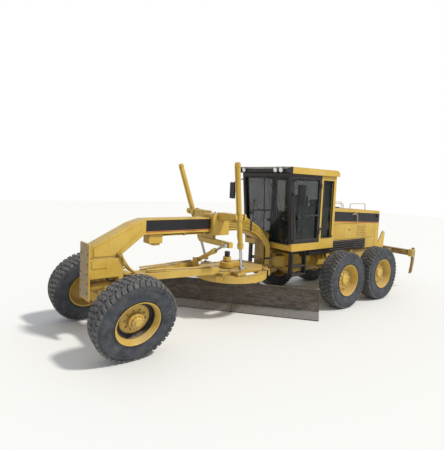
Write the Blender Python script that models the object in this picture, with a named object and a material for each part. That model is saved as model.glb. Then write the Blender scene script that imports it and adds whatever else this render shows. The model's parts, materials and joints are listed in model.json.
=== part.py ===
"""Motor grader: articulated frame, angled moldboard under a circle and drawbar, tandem drive and rear ripper.

Metres, +X forward, +Y to the machine's left, +Z up.  Lengths along the machine are written from the front
axle, and FRONT_AXLE_X places that axle so that the frame's origin is under the middle of the whole machine.
"""
import math

import bpy
from mathutils import Matrix, Vector

# ---------------------------------------------------------------- overall sizes
FRONT_AXLE_X = 4.0375        # places the front axle in the part's frame
TANDEM_MID_X = -5.945        # middle of the tandem pair, from the front axle
TANDEM_SPACING = 1.47        # between the two rear wheels of one side
TRACK = 2.12                 # between the middles of left and right tyres
GAP = 0.0003                 # between touching pieces
RUN = 0.006                  # running clearance of moving pieces
PIN_RUN = 0.0009             # radial clearance of a pin in its eye
ROUND = 24                   # sides of a turned piece
WHEEL_SIDES = 32             # sides of a wheel

# ---------------------------------------------------------------- wheels
TYRE_R = 0.655
TYRE_W = 0.38
RIM_R = 0.350
RIM_W = 0.345
HUB_R = 0.13
HUB_BACK_R = 0.088           # the hub's inboard end, small enough to turn inside the lean bracket
SPINDLE_R = 0.055

# ---------------------------------------------------------------- front axle
LEAN_WORLD = math.radians(14.9)      # how far the front wheels lean to the left as parked
LEAN_PIVOT_Y = 0.86
KINGPIN_Y = 0.975
AXLE_HALF_X = 0.12
AXLE_HALF_Z = 0.085
LEAN_BAR_UP = 0.13           # the lean bar's pins, above the lean pivots
LEAN_BAR_R = 0.025
HUB_INSET = 0.04             # the spindle's shoulder, inboard of the wheel's middle

# ---------------------------------------------------------------- front frame
BEAM_HALF_Y = 0.15
NOSE_HALF_Y = 0.20
BEAM_TOP = 2.05
BEAM_BOTTOM = 1.775
NOSE_FRONT = 0.40
NOSE_TOP = 1.67
NOSE_BOTTOM = 0.72
PLATE_T = 0.035
AXLE_PIVOT_Z = 0.93
AXLE_PIVOT_R = 0.08

# ---------------------------------------------------------------- articulation
HITCH_X = -3.95
HITCH_PIN_R = 0.05
HITCH_LOW = 0.78
HITCH_HIGH = 1.22
LUG_T = 0.10
LUG_R = 0.12

# ---------------------------------------------------------------- drawbar, circle and blade
BALL_X = -0.34
BALL_Z = 1.02
BALL_R = 0.07
BALL_CHEEK = 0.05            # inner face of the drawbar's two front cheeks
CIRCLE_X = -2.72
CIRCLE_R = 0.765
CIRCLE_BORE = 0.60
CIRCLE_TOP = 0.93
CIRCLE_H = 0.13
DRAWBAR_T = 0.07
BLADE_ANGLE = math.radians(40.6)     # left end towards the rear
BLADE_L = 3.66
BLADE_H = 0.63
BLADE_LOW = 0.02
BLADE_R = 0.413
BLADE_T = 0.024
BLADE_SHIFT = 0.047          # the blade's middle, to the left of the circle's
BLADE_U = 0.03               # the blade's edges, ahead of the circle's centre
ARM_S = 0.55
ARM_T = 0.05
TIP_U = -0.24
TIP_Z = 0.20
TIP_PIN_R = 0.025
RAIL_Z = 0.46
RAIL_U = -0.145
RAIL_L = 2.46

# ---------------------------------------------------------------- lift and centre-shift cylinders
LIFT_X = -2.22
LIFT_Y = 0.78
LIFT_Z = 2.12
LIFT_FOOT = (-2.48, 0.60, 1.085)
LIFT_TOP_Z = 3.12
LIFT_END_Z = 1.52
LIFT_R = 0.048
LIFT_EYE_R = 0.042
LIFT_DRIFT = 0.022           # room under a lift rod's eye, which drifts a little as the drawbar swings
ROD_R = 0.028
SADDLE_HALF_X = 0.20
SHIFT_HALF = 0.03            # half the width of the centre-shift rod's eye
SHIFT_HEAD_HALF = 0.046      # and of its barrel's head
SHIFT_PIN_R = 0.022
LUG_RUN = 0.014              # room between that head and the lug it drifts past
SHIFT_HEAD = (-1.955, -0.12, 1.18)    # on the drawbar
SHIFT_EYE = (-1.955, 0.70, 1.585)    # under the saddle's link bar

# ---------------------------------------------------------------- rear frame, cab and hood
RAIL_Y = 0.36
RAIL_HALF = 0.06
RAIL_LOW = 0.88
RAIL_HIGH = 1.14
FRAME_REAR = -7.62
AXLE_Z = TYRE_R
CASE_IN = 0.60
CASE_OUT = 0.80
CAB_FRONT = -3.58
CAB_TOE = -3.76              # the cab's front at its floor
CAB_REAR = -5.20
CAB_HALF = 0.75
CAB_FLOOR = 1.34
CAB_TOP = 3.01
WALL = 0.05
ROOF_H = 0.14
ROOF_OVER = 0.05
SILL = 1.53
DOOR_FRONT = -3.80
DOOR_REAR = -4.64
DOOR_TOP = 2.97
GLASS_T = 0.008
HOOD_FRONT = -5.24
HOOD_REAR = -7.60
HOOD_HALF = 0.50
HOOD_TOP_FRONT = 2.26
HOOD_TOP_REAR = 2.17
HOOD_LOW = 1.18
PANEL_FRONT = -5.45
PANEL_REAR = -7.30
PANEL_LOW = 1.46
PANEL_HIGH = 1.86
STACK_X = -6.40
STACK_Y = -0.22
STACK_TOP = 3.00

# ---------------------------------------------------------------- ripper
RIPPER_HINGE_X = -7.86
RIPPER_HINGE_Z = 0.98
RIPPER_BEAM_X = -8.60
RIPPER_BEAM_Z = 1.00
RIPPER_HALF = 1.05
RIPPER_ARM_Y = 0.45
CHEEK_Y = 0.048              # inner faces of the ripper cylinder's brackets

YELLOW = (0.76, 0.50, 0.09)
DARK = (0.035, 0.035, 0.04)
TYRE = (0.055, 0.058, 0.065)
STEEL = (0.55, 0.55, 0.56)
BLACK = (0.02, 0.02, 0.022)
GLASS = (0.42, 0.52, 0.50)


# ---------------------------------------------------------------- tools
def clear_scene():
    for obj in list(bpy.data.objects):
        bpy.data.objects.remove(obj, do_unlink=True)


def new_object(name, mesh):
    obj = bpy.data.objects.new(name, mesh)
    bpy.context.scene.collection.objects.link(obj)
    return obj


def mesh_object(verts, faces):
    mesh = bpy.data.meshes.new("piece")
    mesh.from_pydata([tuple(v) for v in verts], [], faces)
    mesh.update()
    return new_object("piece", mesh)


def prism(outline, start, end, axis="Y"):
    """A flat outline given in the two other axes, in order, extruded along an axis from start to end."""
    place = {"X": lambda a, b, t: (t, a, b), "Y": lambda a, b, t: (a, t, b), "Z": lambda a, b,
             t: (a, b, t)}[axis]
    area = sum(p[0] * q[1] - q[0] * p[1] for p, q in zip(outline, outline[1:] + outline[:1]))
    pts = list(outline) if area > 0 else list(reversed(outline))
    low, high = min(start, end), max(start, end)
    if axis == "Y":
        low, high = high, low
    n = len(pts)
    verts = [place(a, b, low) for a, b in pts] + [place(a, b, high) for a, b in pts]
    faces = [tuple(reversed(range(n))), tuple(range(n, 2 * n))]
    faces += [(i, (i + 1) % n, n + (i + 1) % n, n + i) for i in range(n)]
    return mesh_object(verts, faces)


def box(x, y, z):
    """A box from three (low, high) pairs."""
    return prism([(x[0], z[0]), (x[1], z[0]), (x[1], z[1]), (x[0], z[1])], y[0], y[1], "Y")


def lathe(profile, centre, axis, sides=ROUND):
    """A closed outline of (radius, height) turned about an axis through centre."""
    axis = Vector(axis).normalized()
    turn = Vector((0, 0, 1)).rotation_difference(axis).to_matrix()
    area = sum(p[0] * q[1] - q[0] * p[1] for p, q in zip(profile, profile[1:] + profile[:1]))
    pts = list(profile) if area > 0 else list(reversed(profile))
    n = len(pts)
    verts = []
    for i in range(sides):
        a = 2 * math.pi * i / sides
        verts += [Vector(centre) + turn @ Vector((r * math.cos(a), r * math.sin(a), h)) for r, h in pts]
    faces = []
    for i in range(sides):
        j = (i + 1) % sides
        faces += [(i * n + k, j * n + k, j * n + (k + 1) % n, i * n + (k + 1) % n) for k in range(n)]
    return mesh_object(verts, faces)


def rod(start, end, radius, sides=ROUND):
    """A solid round bar between two points."""
    start, end = Vector(start), Vector(end)
    turn = Vector((0, 0, 1)).rotation_difference(end - start).to_matrix()
    ring = [(radius * math.cos(2 * math.pi * i / sides), radius * math.sin(2 * math.pi * i / sides))
            for i in range(sides)]
    verts = [p + turn @ Vector((x, y, 0)) for p in (start, end) for x, y in ring]
    faces = [tuple(reversed(range(sides))), tuple(range(sides, 2 * sides))]
    faces += [(i, (i + 1) % sides, sides + (i + 1) % sides, sides + i) for i in range(sides)]
    return mesh_object(verts, faces)


def bar(start, end, width, height, up=(0, 0, 1)):
    """A rectangular bar between two points, height measured towards up."""
    start, end = Vector(start), Vector(end)
    along = (end - start).normalized()
    side = along.cross(Vector(up)).normalized()
    top = side.cross(along)
    corners = [side * (width / 2 * a) + top * (height / 2 * b) for a,
               b in ((-1, -1), (1, -1), (1, 1), (-1, 1))]
    verts = [start + c for c in corners] + [end + c for c in corners]
    faces = [(3, 2, 1, 0), (4, 5, 6, 7)] + [(i, (i + 1) % 4, 4 + (i + 1) % 4, 4 + i) for i in range(4)]
    obj = mesh_object(verts, faces)
    if (corners[1] - corners[0]).cross(corners[2] - corners[1]).dot(along) < 0:
        obj.data.flip_normals()
    return obj


def turned(obj, matrix):
    obj.data.transform(matrix)
    return obj


def combine(base, other, operation):
    """Join or cut two pieces with an exact boolean and keep the result in base."""
    modifier = base.modifiers.new("combine", "BOOLEAN")
    modifier.operation = operation
    modifier.solver = "EXACT"
    modifier.object = other
    graph = bpy.context.evaluated_depsgraph_get()
    graph.update()
    mesh = bpy.data.meshes.new_from_object(base.evaluated_get(graph))
    base.modifiers.clear()
    base.data = mesh
    bpy.data.objects.remove(other, do_unlink=True)
    return base


def node(name, parts, colour, roughness=0.5, metallic=0.0, cuts=(), origin=(0, 0, 0), smooth=False):
    """One finished sub-part: its pieces joined, its openings cut, its origin on its own joint or seat."""
    base = parts[0]
    for part in parts[1:]:
        combine(base, part, "UNION")
    for cut in cuts:
        combine(base, cut, "DIFFERENCE")
    base.name = name
    base.data.name = name
    base.data.transform(Matrix.Translation(-Vector(origin)))
    base.location = Vector(origin) + Vector((FRONT_AXLE_X, 0, 0))
    material = bpy.data.materials.new(name)
    material.use_nodes = True
    shader = material.node_tree.nodes["Principled BSDF"]
    shader.inputs["Base Color"].default_value = (*colour, 1)
    shader.inputs["Roughness"].default_value = roughness
    shader.inputs["Metallic"].default_value = metallic
    base.data.materials.clear()
    base.data.materials.append(material)
    for face in base.data.polygons:
        face.use_smooth = smooth
        face.material_index = 0
    return base


def about_x(angle, y, z):
    """A turn about an axis along X through (y, z)."""
    centre = Matrix.Translation((0, y, z))
    return centre @ Matrix.Rotation(angle, 4, "X") @ centre.inverted()


# ---------------------------------------------------------------- wheels
def wheel(name, x, side, spot, matrix, disc_at):
    """A tyre and its rim about an axis along Y, then leaned by matrix.  spot is the axle height."""
    centre = Vector((x, side * TRACK / 2, spot))
    half = TYRE_W / 2
    tread = [(0.66, 0.76), (0.90, 0.99), (0.955, 0.93), (0.99, 0.78), (1.0, 0.60)]
    outer = [(TYRE_R * r, half * w) for r, w in tread]
    bore = [(RIM_R + GAP, half * 0.82)]
    profile = bore + outer + [(r, -h) for r, h in reversed(outer)] + [(r, -h) for r, h in reversed(bore)]
    tyre = lathe(profile, centre, (0, 1, 0), WHEEL_SIDES)
    rim_half = RIM_W / 2
    wall = RIM_R - 0.022
    disc_in, disc_out = disc_at
    rim_profile = [
        (SPINDLE_R + RUN, -HUB_INSET), (HUB_BACK_R, -HUB_INSET), (HUB_BACK_R, disc_in), (wall, disc_in),
        (wall, -rim_half), (RIM_R, -rim_half), (RIM_R, rim_half), (wall, rim_half), (wall - 0.02, disc_out),
        (HUB_R, disc_out), (HUB_R - 0.01, disc_out + 0.11), (SPINDLE_R + RUN, disc_out + 0.11),
    ]
    rim = lathe(rim_profile, centre, (0, side, 0), WHEEL_SIDES)
    origin = matrix @ centre
    node(name + "_tyre", [turned(tyre, matrix)], TYRE, 0.9, origin=origin, smooth=True)
    node(name + "_rim", [turned(rim, matrix)], YELLOW, 0.5, origin=origin, smooth=True)


def front_axle_group():
    """The oscillating axle is set so that both leaned wheels stand on the floor."""
    reach = TRACK / 2 - LEAN_PIVOT_Y
    axle_tilt = math.asin(reach * math.sin(LEAN_WORLD) / LEAN_PIVOT_Y)
    wheel_z = TYRE_R * math.cos(LEAN_WORLD) + TYRE_W / 2 * 0.72 * math.sin(LEAN_WORLD)
    arm_z = wheel_z
    tilt = about_x(axle_tilt, 0, arm_z)
    axle = [
        box((-AXLE_HALF_X + 0.015, AXLE_HALF_X - 0.015), (-LEAN_PIVOT_Y + 0.06, LEAN_PIVOT_Y - 0.06),
            (arm_z - AXLE_HALF_Z, arm_z + AXLE_HALF_Z)),
        box((-AXLE_HALF_X + 0.02, AXLE_HALF_X - 0.02), (-0.16, 0.16), (arm_z, AXLE_PIVOT_Z)),
    ]
    for side in (-1, 1):
        y = side * LEAN_PIVOT_Y
        axle.append(rod((-AXLE_HALF_X, y, arm_z), (AXLE_HALF_X, y, arm_z), 0.055))
        axle.append(box((-AXLE_HALF_X + 0.02, AXLE_HALF_X - 0.02),
                        sorted((side * (LEAN_PIVOT_Y - 0.07), y)),
                        (arm_z - 0.045, arm_z + 0.045)))
        axle.append(rod((-AXLE_HALF_X - 0.04, y, arm_z), (AXLE_HALF_X + 0.04, y, arm_z), 0.03))
    slot_low = arm_z + AXLE_HALF_Z
    slot = box((-LEAN_BAR_R - 0.012, LEAN_BAR_R + 0.012), (-0.3, 0.3),
               (slot_low, AXLE_PIVOT_Z - AXLE_PIVOT_R + RUN))
    for part in axle + [slot]:
        turned(part, tilt)
    front = NOSE_FRONT - PLATE_T - GAP
    pivot_rod = rod((-0.12 + GAP, 0, AXLE_PIVOT_Z), (front, 0, AXLE_PIVOT_Z), AXLE_PIVOT_R - RUN)
    body = axle[0]
    for part in axle[1:]:
        combine(body, part, "UNION")
    combine(body, slot, "DIFFERENCE")
    node("front_axle", [body, pivot_rod], YELLOW, origin=(0, 0, AXLE_PIVOT_Z))

    leans = []
    for side, name in ((1, "left"), (-1, "right")):
        pivot = tilt @ Vector((0, side * LEAN_PIVOT_Y, arm_z))
        upright = Vector((0, side * LEAN_PIVOT_Y, arm_z))
        shift = Matrix.Translation(pivot - upright)
        lean = shift @ about_x(-LEAN_WORLD, upright.y, upright.z)
        bracket = []
        ear_in, ear_out = AXLE_HALF_X + GAP, AXLE_HALF_X + 0.025
        inner, outer = LEAN_PIVOT_Y - 0.05, LEAN_PIVOT_Y + 0.08
        ear = [(inner, -0.07), (inner + 0.06, -0.145), (outer, -0.145), (outer, 0.16),
               (inner + 0.08, 0.175),
               (inner, 0.16)]
        ear = [(side * y, arm_z + z) for y, z in ear]
        for end in (-1, 1):
            bracket.append(prism(ear, end * ear_in, end * ear_out, "X"))
        nose_y = KINGPIN_Y + 0.035
        wing = [(ear_out - 0.01, inner + 0.095), (ear_out - 0.01, outer - 0.006), (0.055, nose_y),
                (-0.055, nose_y),
                (0.01 - ear_out, outer - 0.006), (0.01 - ear_out, inner + 0.095)]
        wing = [(x, side * y) for x, y in wing]
        for z0, z1 in ((0.10, 0.14), (-0.14, -0.10)):
            bracket.append(prism(wing, arm_z + z0, arm_z + z1, "Z"))
        bracket.append(rod((0, side * KINGPIN_Y, arm_z - 0.13), (0, side * KINGPIN_Y, arm_z + 0.13), 0.026))
        pin = rod((-0.3, side * LEAN_PIVOT_Y, arm_z), (0.3, side * LEAN_PIVOT_Y, arm_z), 0.03 + PIN_RUN)
        top_pin = rod((-0.3, side * LEAN_PIVOT_Y, arm_z + LEAN_BAR_UP),
                      (0.3, side * LEAN_PIVOT_Y, arm_z + LEAN_BAR_UP),
                      0.02 + PIN_RUN)
        node(name + "_lean_bracket", [turned(b, lean) for b in bracket], YELLOW,
             cuts=[turned(pin, lean), turned(top_pin, lean)], origin=pivot)
        kingpin = Vector((0, side * KINGPIN_Y, arm_z))
        shoulder = side * (TRACK / 2 - HUB_INSET - GAP)
        knuckle = [
            rod((0, side * KINGPIN_Y, arm_z - 0.10 + GAP), (0, side * KINGPIN_Y, arm_z + 0.10 - GAP),
                0.045),
            rod((0, side * (KINGPIN_Y + 0.03), arm_z), (0, shoulder, arm_z), 0.080),
            rod((0, side * KINGPIN_Y, arm_z), (0, side * (TRACK / 2 + 0.08), arm_z), SPINDLE_R),
        ]
        cut = [rod((0, side * KINGPIN_Y, arm_z - 0.2), (0, side * KINGPIN_Y, arm_z + 0.2), 0.026 + PIN_RUN)]
        node(name + "_steering_knuckle", [turned(k, lean) for k in knuckle], DARK,
             cuts=[turned(c, lean) for c in cut],
             origin=lean @ kingpin)
        wheel("front_" + name, 0, side, arm_z, lean, (0.015, 0.045))
        leans.append(lean)
    ends = [lean @ Vector((0, side * LEAN_PIVOT_Y, arm_z + LEAN_BAR_UP)) for side,
            lean in zip((1, -1), leans)]
    bar_parts = [rod(ends[1], ends[0], LEAN_BAR_R)]
    for end in ends:
        bar_parts.append(rod(end - Vector((AXLE_HALF_X - 0.02, 0, 0)),
                             end + Vector((AXLE_HALF_X - 0.02, 0, 0)), 0.035))
        bar_parts.append(rod(end - Vector((AXLE_HALF_X + 0.04, 0, 0)),
                             end + Vector((AXLE_HALF_X + 0.04, 0, 0)), 0.02))
    node("wheel_lean_bar", bar_parts, YELLOW, origin=ends[0])


# ---------------------------------------------------------------- front frame
def front_frame():
    spine = [
        (NOSE_FRONT - PLATE_T, 1.60), (-0.36, 1.975), (-0.60, BEAM_TOP), (-2.95, BEAM_TOP), (-3.66, 1.66),
        (-3.66, 1.28), (-3.80, 1.28), (-3.80, 0.74), (-3.52, 0.74), (-3.52, 1.50), (-2.85, BEAM_BOTTOM),
        (-0.59, BEAM_BOTTOM), (-0.10, 1.40), (NOSE_FRONT - PLATE_T, 1.40)]
    parts = [prism(spine, -BEAM_HALF_Y, BEAM_HALF_Y)]
    nose = [(NOSE_FRONT, NOSE_TOP), (NOSE_FRONT - PLATE_T, NOSE_TOP), (NOSE_FRONT - PLATE_T, NOSE_BOTTOM),
            (NOSE_FRONT, NOSE_BOTTOM + 0.06)]
    parts.append(prism(nose, -NOSE_HALF_Y, NOSE_HALF_Y))
    parts.append(box((-0.20, NOSE_FRONT - PLATE_T + 0.01), (-NOSE_HALF_Y + 0.01, NOSE_HALF_Y - 0.01),
                     (1.10, 1.42)))
    parts.append(box((-0.20, -0.12), (-NOSE_HALF_Y + 0.01, NOSE_HALF_Y - 0.01), (0.80, 1.15)))
    for end in (-1, 1):
        z = sorted((BALL_Z + end * (BALL_R + GAP), BALL_Z + end * (BALL_R + 0.035)))
        parts.append(box((BALL_X - 0.035, -0.18), (-0.10, 0.10), z))
    for low in (HITCH_LOW, HITCH_HIGH - LUG_T):
        lug = [(-3.75, 0.20), (HITCH_X, LUG_R), (HITCH_X - LUG_R * 0.7, LUG_R * 0.7), (HITCH_X - LUG_R, 0)]
        lug = lug + [(x, -y) for x, y in reversed(lug[:-1])]
        parts.append(prism(lug, low, low + LUG_T, "Z"))
    cuts = [rod((HITCH_X, 0, 0.6), (HITCH_X, 0, 1.3), HITCH_PIN_R + PIN_RUN),
            box((-0.3, NOSE_FRONT - PLATE_T), (-0.35, 0.35), (0.5, AXLE_PIVOT_Z - AXLE_PIVOT_R - 0.3))]
    return node("front_frame", parts, YELLOW, cuts=cuts, origin=(HITCH_X, 0, HITCH_LOW))


# ---------------------------------------------------------------- blade lift
def cylinder(name, head, foot, span, rod_from, radii, mount):
    """A barrel over span, measured from head towards foot.  Returns the rod, from rod_from to foot."""
    head, foot = Vector(head), Vector(foot)
    along = (foot - head).normalized()
    start, end = head + along * span[0], head + along * span[1]
    radius, rod_radius = radii
    barrel = [rod(start, end, radius), rod(end - along * 0.07, end + along * 0.02, radius + 0.012), mount]
    bore = rod(start + along * 0.03, end + along * 0.1, rod_radius + PIN_RUN)
    node(name + "_cylinder", barrel, YELLOW, cuts=[bore], origin=head)
    return rod(head + along * rod_from, foot, rod_radius)


def blade_lift():
    x0, x1 = LIFT_X - SADDLE_HALF_X, LIFT_X + SADDLE_HALF_X
    beam_y = BEAM_HALF_Y + GAP
    outer = 0.24
    saddle = [box((x0, x1), (-outer, outer), (BEAM_BOTTOM - 0.07, BEAM_TOP + 0.07))]
    yoke_in = LIFT_Y - 0.14
    for side in (-1, 1):
        y = sorted((side * (outer - 0.02), side * (yoke_in + 0.02)))
        saddle.append(box((LIFT_X - 0.09, LIFT_X + 0.09), y, (LIFT_Z - 0.10, LIFT_Z + 0.04)))
        for end in (-1, 1):
            ear = [(side * (yoke_in - 0.01), LIFT_Z - 0.08), (side * (LIFT_Y + 0.05), LIFT_Z - 0.05),
                   (side * (LIFT_Y + 0.05), LIFT_Z + 0.05), (side * (yoke_in - 0.01), LIFT_Z + 0.04)]
            saddle.append(prism(ear, LIFT_X + end * 0.09, LIFT_X + end * 0.125, "X"))
        saddle.append(box((LIFT_X - 0.125, LIFT_X + 0.125),
                          sorted((side * (yoke_in - 0.03), side * (yoke_in))),
                          (LIFT_Z - 0.08, LIFT_Z + 0.04)))
    leg = box((x1 - 0.10, x1 - 0.02), (-0.20, 0.20), (1.54, BEAM_BOTTOM - 0.05))
    link = box((x1 - 0.095, x1 - 0.005), (-0.24, SHIFT_EYE[1] + 0.05), (SHIFT_EYE[2] - 0.05, SHIFT_EYE[2] + 0.05))
    stud = rod((x1 - 0.03, *SHIFT_EYE[1:]), (SHIFT_EYE[0] + SHIFT_HALF + 0.01, *SHIFT_EYE[1:]), SHIFT_PIN_R)
    saddle += [leg, link, stud]
    cuts = [box((x0 - 0.1, x1 + 0.1), (-beam_y, beam_y), (BEAM_BOTTOM - GAP, BEAM_TOP + GAP))]
    for side in (-1, 1):
        pin = side * LIFT_Y
        cuts.append(rod((LIFT_X - 0.2, pin, LIFT_Z), (LIFT_X + 0.2, pin, LIFT_Z), 0.030 + PIN_RUN))
    node("blade_lift_saddle", saddle, YELLOW, cuts=cuts, origin=(LIFT_X, 0, BEAM_TOP))

    for side, name in ((1, "left"), (-1, "right")):
        head = Vector((LIFT_X, side * LIFT_Y, LIFT_Z))
        foot = Vector((LIFT_FOOT[0], side * LIFT_FOOT[1], LIFT_FOOT[2]))
        per_drop = (foot - head).length / (head.z - foot.z)
        span = ((LIFT_Z - LIFT_TOP_Z) * per_drop, (LIFT_Z - LIFT_END_Z) * per_drop)
        pins = rod((LIFT_X - 0.12, head.y, head.z), (LIFT_X + 0.12, head.y, head.z), 0.030)
        piston = cylinder(name + "_lift", head, foot, span, span[0] + 0.42, (LIFT_R, ROD_R), pins)
        eye = rod(foot + Vector((-0.045, 0, 0)), foot + Vector((0.045, 0, 0)), LIFT_EYE_R)
        node(name + "_lift_rod", [piston, eye], STEEL, 0.3, 1.0, origin=foot)


def centre_shift():
    head, foot = Vector(SHIFT_HEAD), Vector(SHIFT_EYE)
    length = (foot - head).length
    half = Vector((SHIFT_HALF, 0, 0))
    head_half = Vector((SHIFT_HEAD_HALF, 0, 0))
    boss = rod(head - head_half, head + head_half, 0.045)
    span = (0.0, length * 0.64)
    piston = cylinder("centre_shift", head, foot, span, length * 0.29, (0.042, 0.024), boss)
    pin = rod(foot - half * 2, foot + half * 2, SHIFT_PIN_R + PIN_RUN)
    eye = rod(foot - half, foot + half, 0.045)
    node("centre_shift_rod", [piston, eye], STEEL, 0.3, 1.0, cuts=[pin], origin=foot)


# ---------------------------------------------------------------- drawbar and circle
def drawbar():
    low, high = CIRCLE_TOP, CIRCLE_TOP + DRAWBAR_T
    plate = [(-1.75, 0.16), (-2.10, 0.46), (-3.20, 0.46), (-3.40, 0.25)]
    plate = plate + [(x, -y) for x, y in reversed(plate)]
    parts = [prism(plate, low, high, "Z")]
    for side in (-1, 1):
        parts.append(bar((BALL_X - 0.20, side * 0.07, BALL_Z), (-2.08, side * 0.36, high + 0.04), 0.11,
                         0.13))
        foot = Vector((LIFT_FOOT[0], side * LIFT_FOOT[1], LIFT_FOOT[2]))
        parts.append(box((foot.x - 0.10, foot.x + 0.10), sorted((side * 0.30, foot.y + side * 0.04)),
                         (low + 0.005, high)))
        stud_top = foot.z - LIFT_EYE_R - LIFT_DRIFT
        parts.append(rod((foot.x, foot.y, high - 0.02), (foot.x, foot.y, stud_top), 0.03))
    for side in (-1, 1):
        cheek = [(BALL_X + 0.035, BALL_Z - 0.035), (BALL_X + 0.035, BALL_Z + 0.035),
                 (BALL_X - 0.16, BALL_Z + 0.06),
                 (BALL_X - 0.16, BALL_Z - 0.06)]
        parts.append(prism(cheek, side * BALL_CHEEK, side * (BALL_CHEEK + 0.03)))
    parts.append(box((BALL_X - 0.30, BALL_X - 0.14), (-0.12, 0.12), (BALL_Z - 0.062, BALL_Z + 0.062)))
    parts.append(bar((-1.2, -0.16, BALL_Z), (-1.2, 0.16, BALL_Z), 0.10, 0.09))
    head = Vector(SHIFT_HEAD)
    lug_x = head.x + SHIFT_HEAD_HALF + 0.02
    parts.append(box((lug_x, lug_x + 0.04), (head.y - 0.06, head.y + 0.06), (high - 0.02, head.z + 0.04)))
    parts.append(rod((lug_x + 0.01, head.y, head.z), (head.x + SHIFT_HEAD_HALF + LUG_RUN, head.y, head.z), SHIFT_PIN_R))
    cuts = [rod((BALL_X, -0.3, BALL_Z), (BALL_X, 0.3, BALL_Z), 0.03 + PIN_RUN)]
    ball = [rod((BALL_X, 0, BALL_Z - BALL_R), (BALL_X, 0, BALL_Z + BALL_R), 0.045),
            rod((BALL_X, -BALL_CHEEK - 0.035, BALL_Z), (BALL_X, BALL_CHEEK + 0.035, BALL_Z), 0.03)]
    node("drawbar_ball", ball, STEEL, 0.4, 1.0, origin=(BALL_X, 0, BALL_Z))
    return node("drawbar", parts, YELLOW, cuts=cuts, origin=(BALL_X, 0, BALL_Z))


def blade_frame():
    """Turns (forward, along the blade, up) from the blade's own axes to the machine's."""
    return Matrix.Translation((CIRCLE_X, 0, 0)) @ Matrix.Rotation(BLADE_ANGLE, 4, "Z")


def circle():
    top = CIRCLE_TOP - GAP
    ring = lathe([(CIRCLE_BORE, top - CIRCLE_H), (CIRCLE_R, top - CIRCLE_H), (CIRCLE_R, top),
                  (CIRCLE_BORE, top)],
                 (0, 0, 0), (0, 0, 1), 48)
    parts = [ring]
    low = top - CIRCLE_H
    for side in (-1, 1):
        arm = [(-0.47, low + 0.03), (-0.24, low + 0.03), (-0.22, 0.62), (-0.215, 0.32),
               (TIP_U + 0.05, TIP_Z + 0.05),
               (TIP_U + 0.04, TIP_Z - 0.05), (TIP_U - 0.06, TIP_Z - 0.06), (-0.34, 0.30), (-0.44, 0.55)]
        parts.append(prism(arm, side * ARM_S, side * (ARM_S + ARM_T)))
    parts.append(box((-0.42, -0.34), (-ARM_S - 0.01, ARM_S + 0.01), (0.60, 0.70)))
    cuts = [rod((TIP_U, -1, TIP_Z), (TIP_U, 1, TIP_Z), TIP_PIN_R + PIN_RUN)]
    for part in parts + cuts:
        turned(part, blade_frame())
    return node("blade_circle", parts, YELLOW, cuts=cuts, origin=(CIRCLE_X, 0, CIRCLE_TOP))


def blade_carrier():
    """Two brackets on one tip shaft, with the shoes that hold the blade's rail."""
    parts = [rod((TIP_U, -ARM_S - ARM_T - 0.01, TIP_Z), (TIP_U, ARM_S + ARM_T + 0.01, TIP_Z), TIP_PIN_R)]
    shoe_u = RAIL_U - 0.03 - GAP
    lip, jaw, tip = 0.04 + GAP, 0.075, RAIL_U + 0.005
    shoe = [(shoe_u - 0.04, RAIL_Z - jaw), (tip, RAIL_Z - jaw), (tip, RAIL_Z - lip), (shoe_u, RAIL_Z - lip),
            (shoe_u, RAIL_Z + lip), (tip, RAIL_Z + lip), (tip, RAIL_Z + jaw), (shoe_u - 0.04, RAIL_Z + jaw)]
    web = [(TIP_U - 0.04, TIP_Z - 0.035), (TIP_U + 0.035, TIP_Z - 0.035), (shoe_u - 0.006, RAIL_Z - 0.10),
           (shoe_u - 0.006, RAIL_Z + 0.06), (shoe_u - 0.07, RAIL_Z + 0.06), (TIP_U - 0.04, TIP_Z + 0.08)]
    for side in (-1, 1):
        parts.append(prism(web, side * (ARM_S - RUN), side * (ARM_S - 0.05)))
        parts.append(prism(shoe, side * (ARM_S - 0.012 - RUN), side * (ARM_S - 0.18)))
    parts.append(box((shoe_u - 0.05, shoe_u - 0.01), (-ARM_S + 0.03, ARM_S - 0.03),
                     (RAIL_Z - 0.03, RAIL_Z + 0.03)))
    for part in parts:
        turned(part, blade_frame())
    pivot = blade_frame() @ Vector((TIP_U, 0, TIP_Z))
    return node("blade_carrier", parts, YELLOW, origin=pivot)


def moldboard():
    """A rolled plate whose middle lies behind its two edges, with its slide rail on the back."""
    chord = BLADE_H / 2
    mid_z = BLADE_LOW + chord
    centre_u = BLADE_U + math.sqrt(BLADE_R ** 2 - chord ** 2)
    half_angle = math.asin(chord / BLADE_R)
    steps = 14
    angles = [math.pi - half_angle + 2 * half_angle * i / steps for i in range(steps + 1)]
    front = [(centre_u + BLADE_R * math.cos(a), mid_z + BLADE_R * math.sin(a)) for a in angles]
    back = [(centre_u + (BLADE_R + BLADE_T) * math.cos(a),
             mid_z + (BLADE_R + BLADE_T) * math.sin(a)) for a in angles]
    outline = front + list(reversed(back))
    parts = [prism(outline, BLADE_SHIFT - BLADE_L / 2, BLADE_SHIFT + BLADE_L / 2)]
    back_u = centre_u - BLADE_R
    rail = [(RAIL_U - 0.03, RAIL_Z - 0.04), (back_u + 0.03, RAIL_Z - 0.04), (back_u + 0.03, RAIL_Z + 0.04),
            (RAIL_U - 0.03, RAIL_Z + 0.04)]
    parts.append(prism(rail, -RAIL_L / 2, RAIL_L / 2))
    for part in parts:
        turned(part, blade_frame())
    pivot = blade_frame() @ Vector((0, 0, mid_z))
    return node("moldboard", parts, DARK, 0.6, 0.4, origin=pivot)


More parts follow.
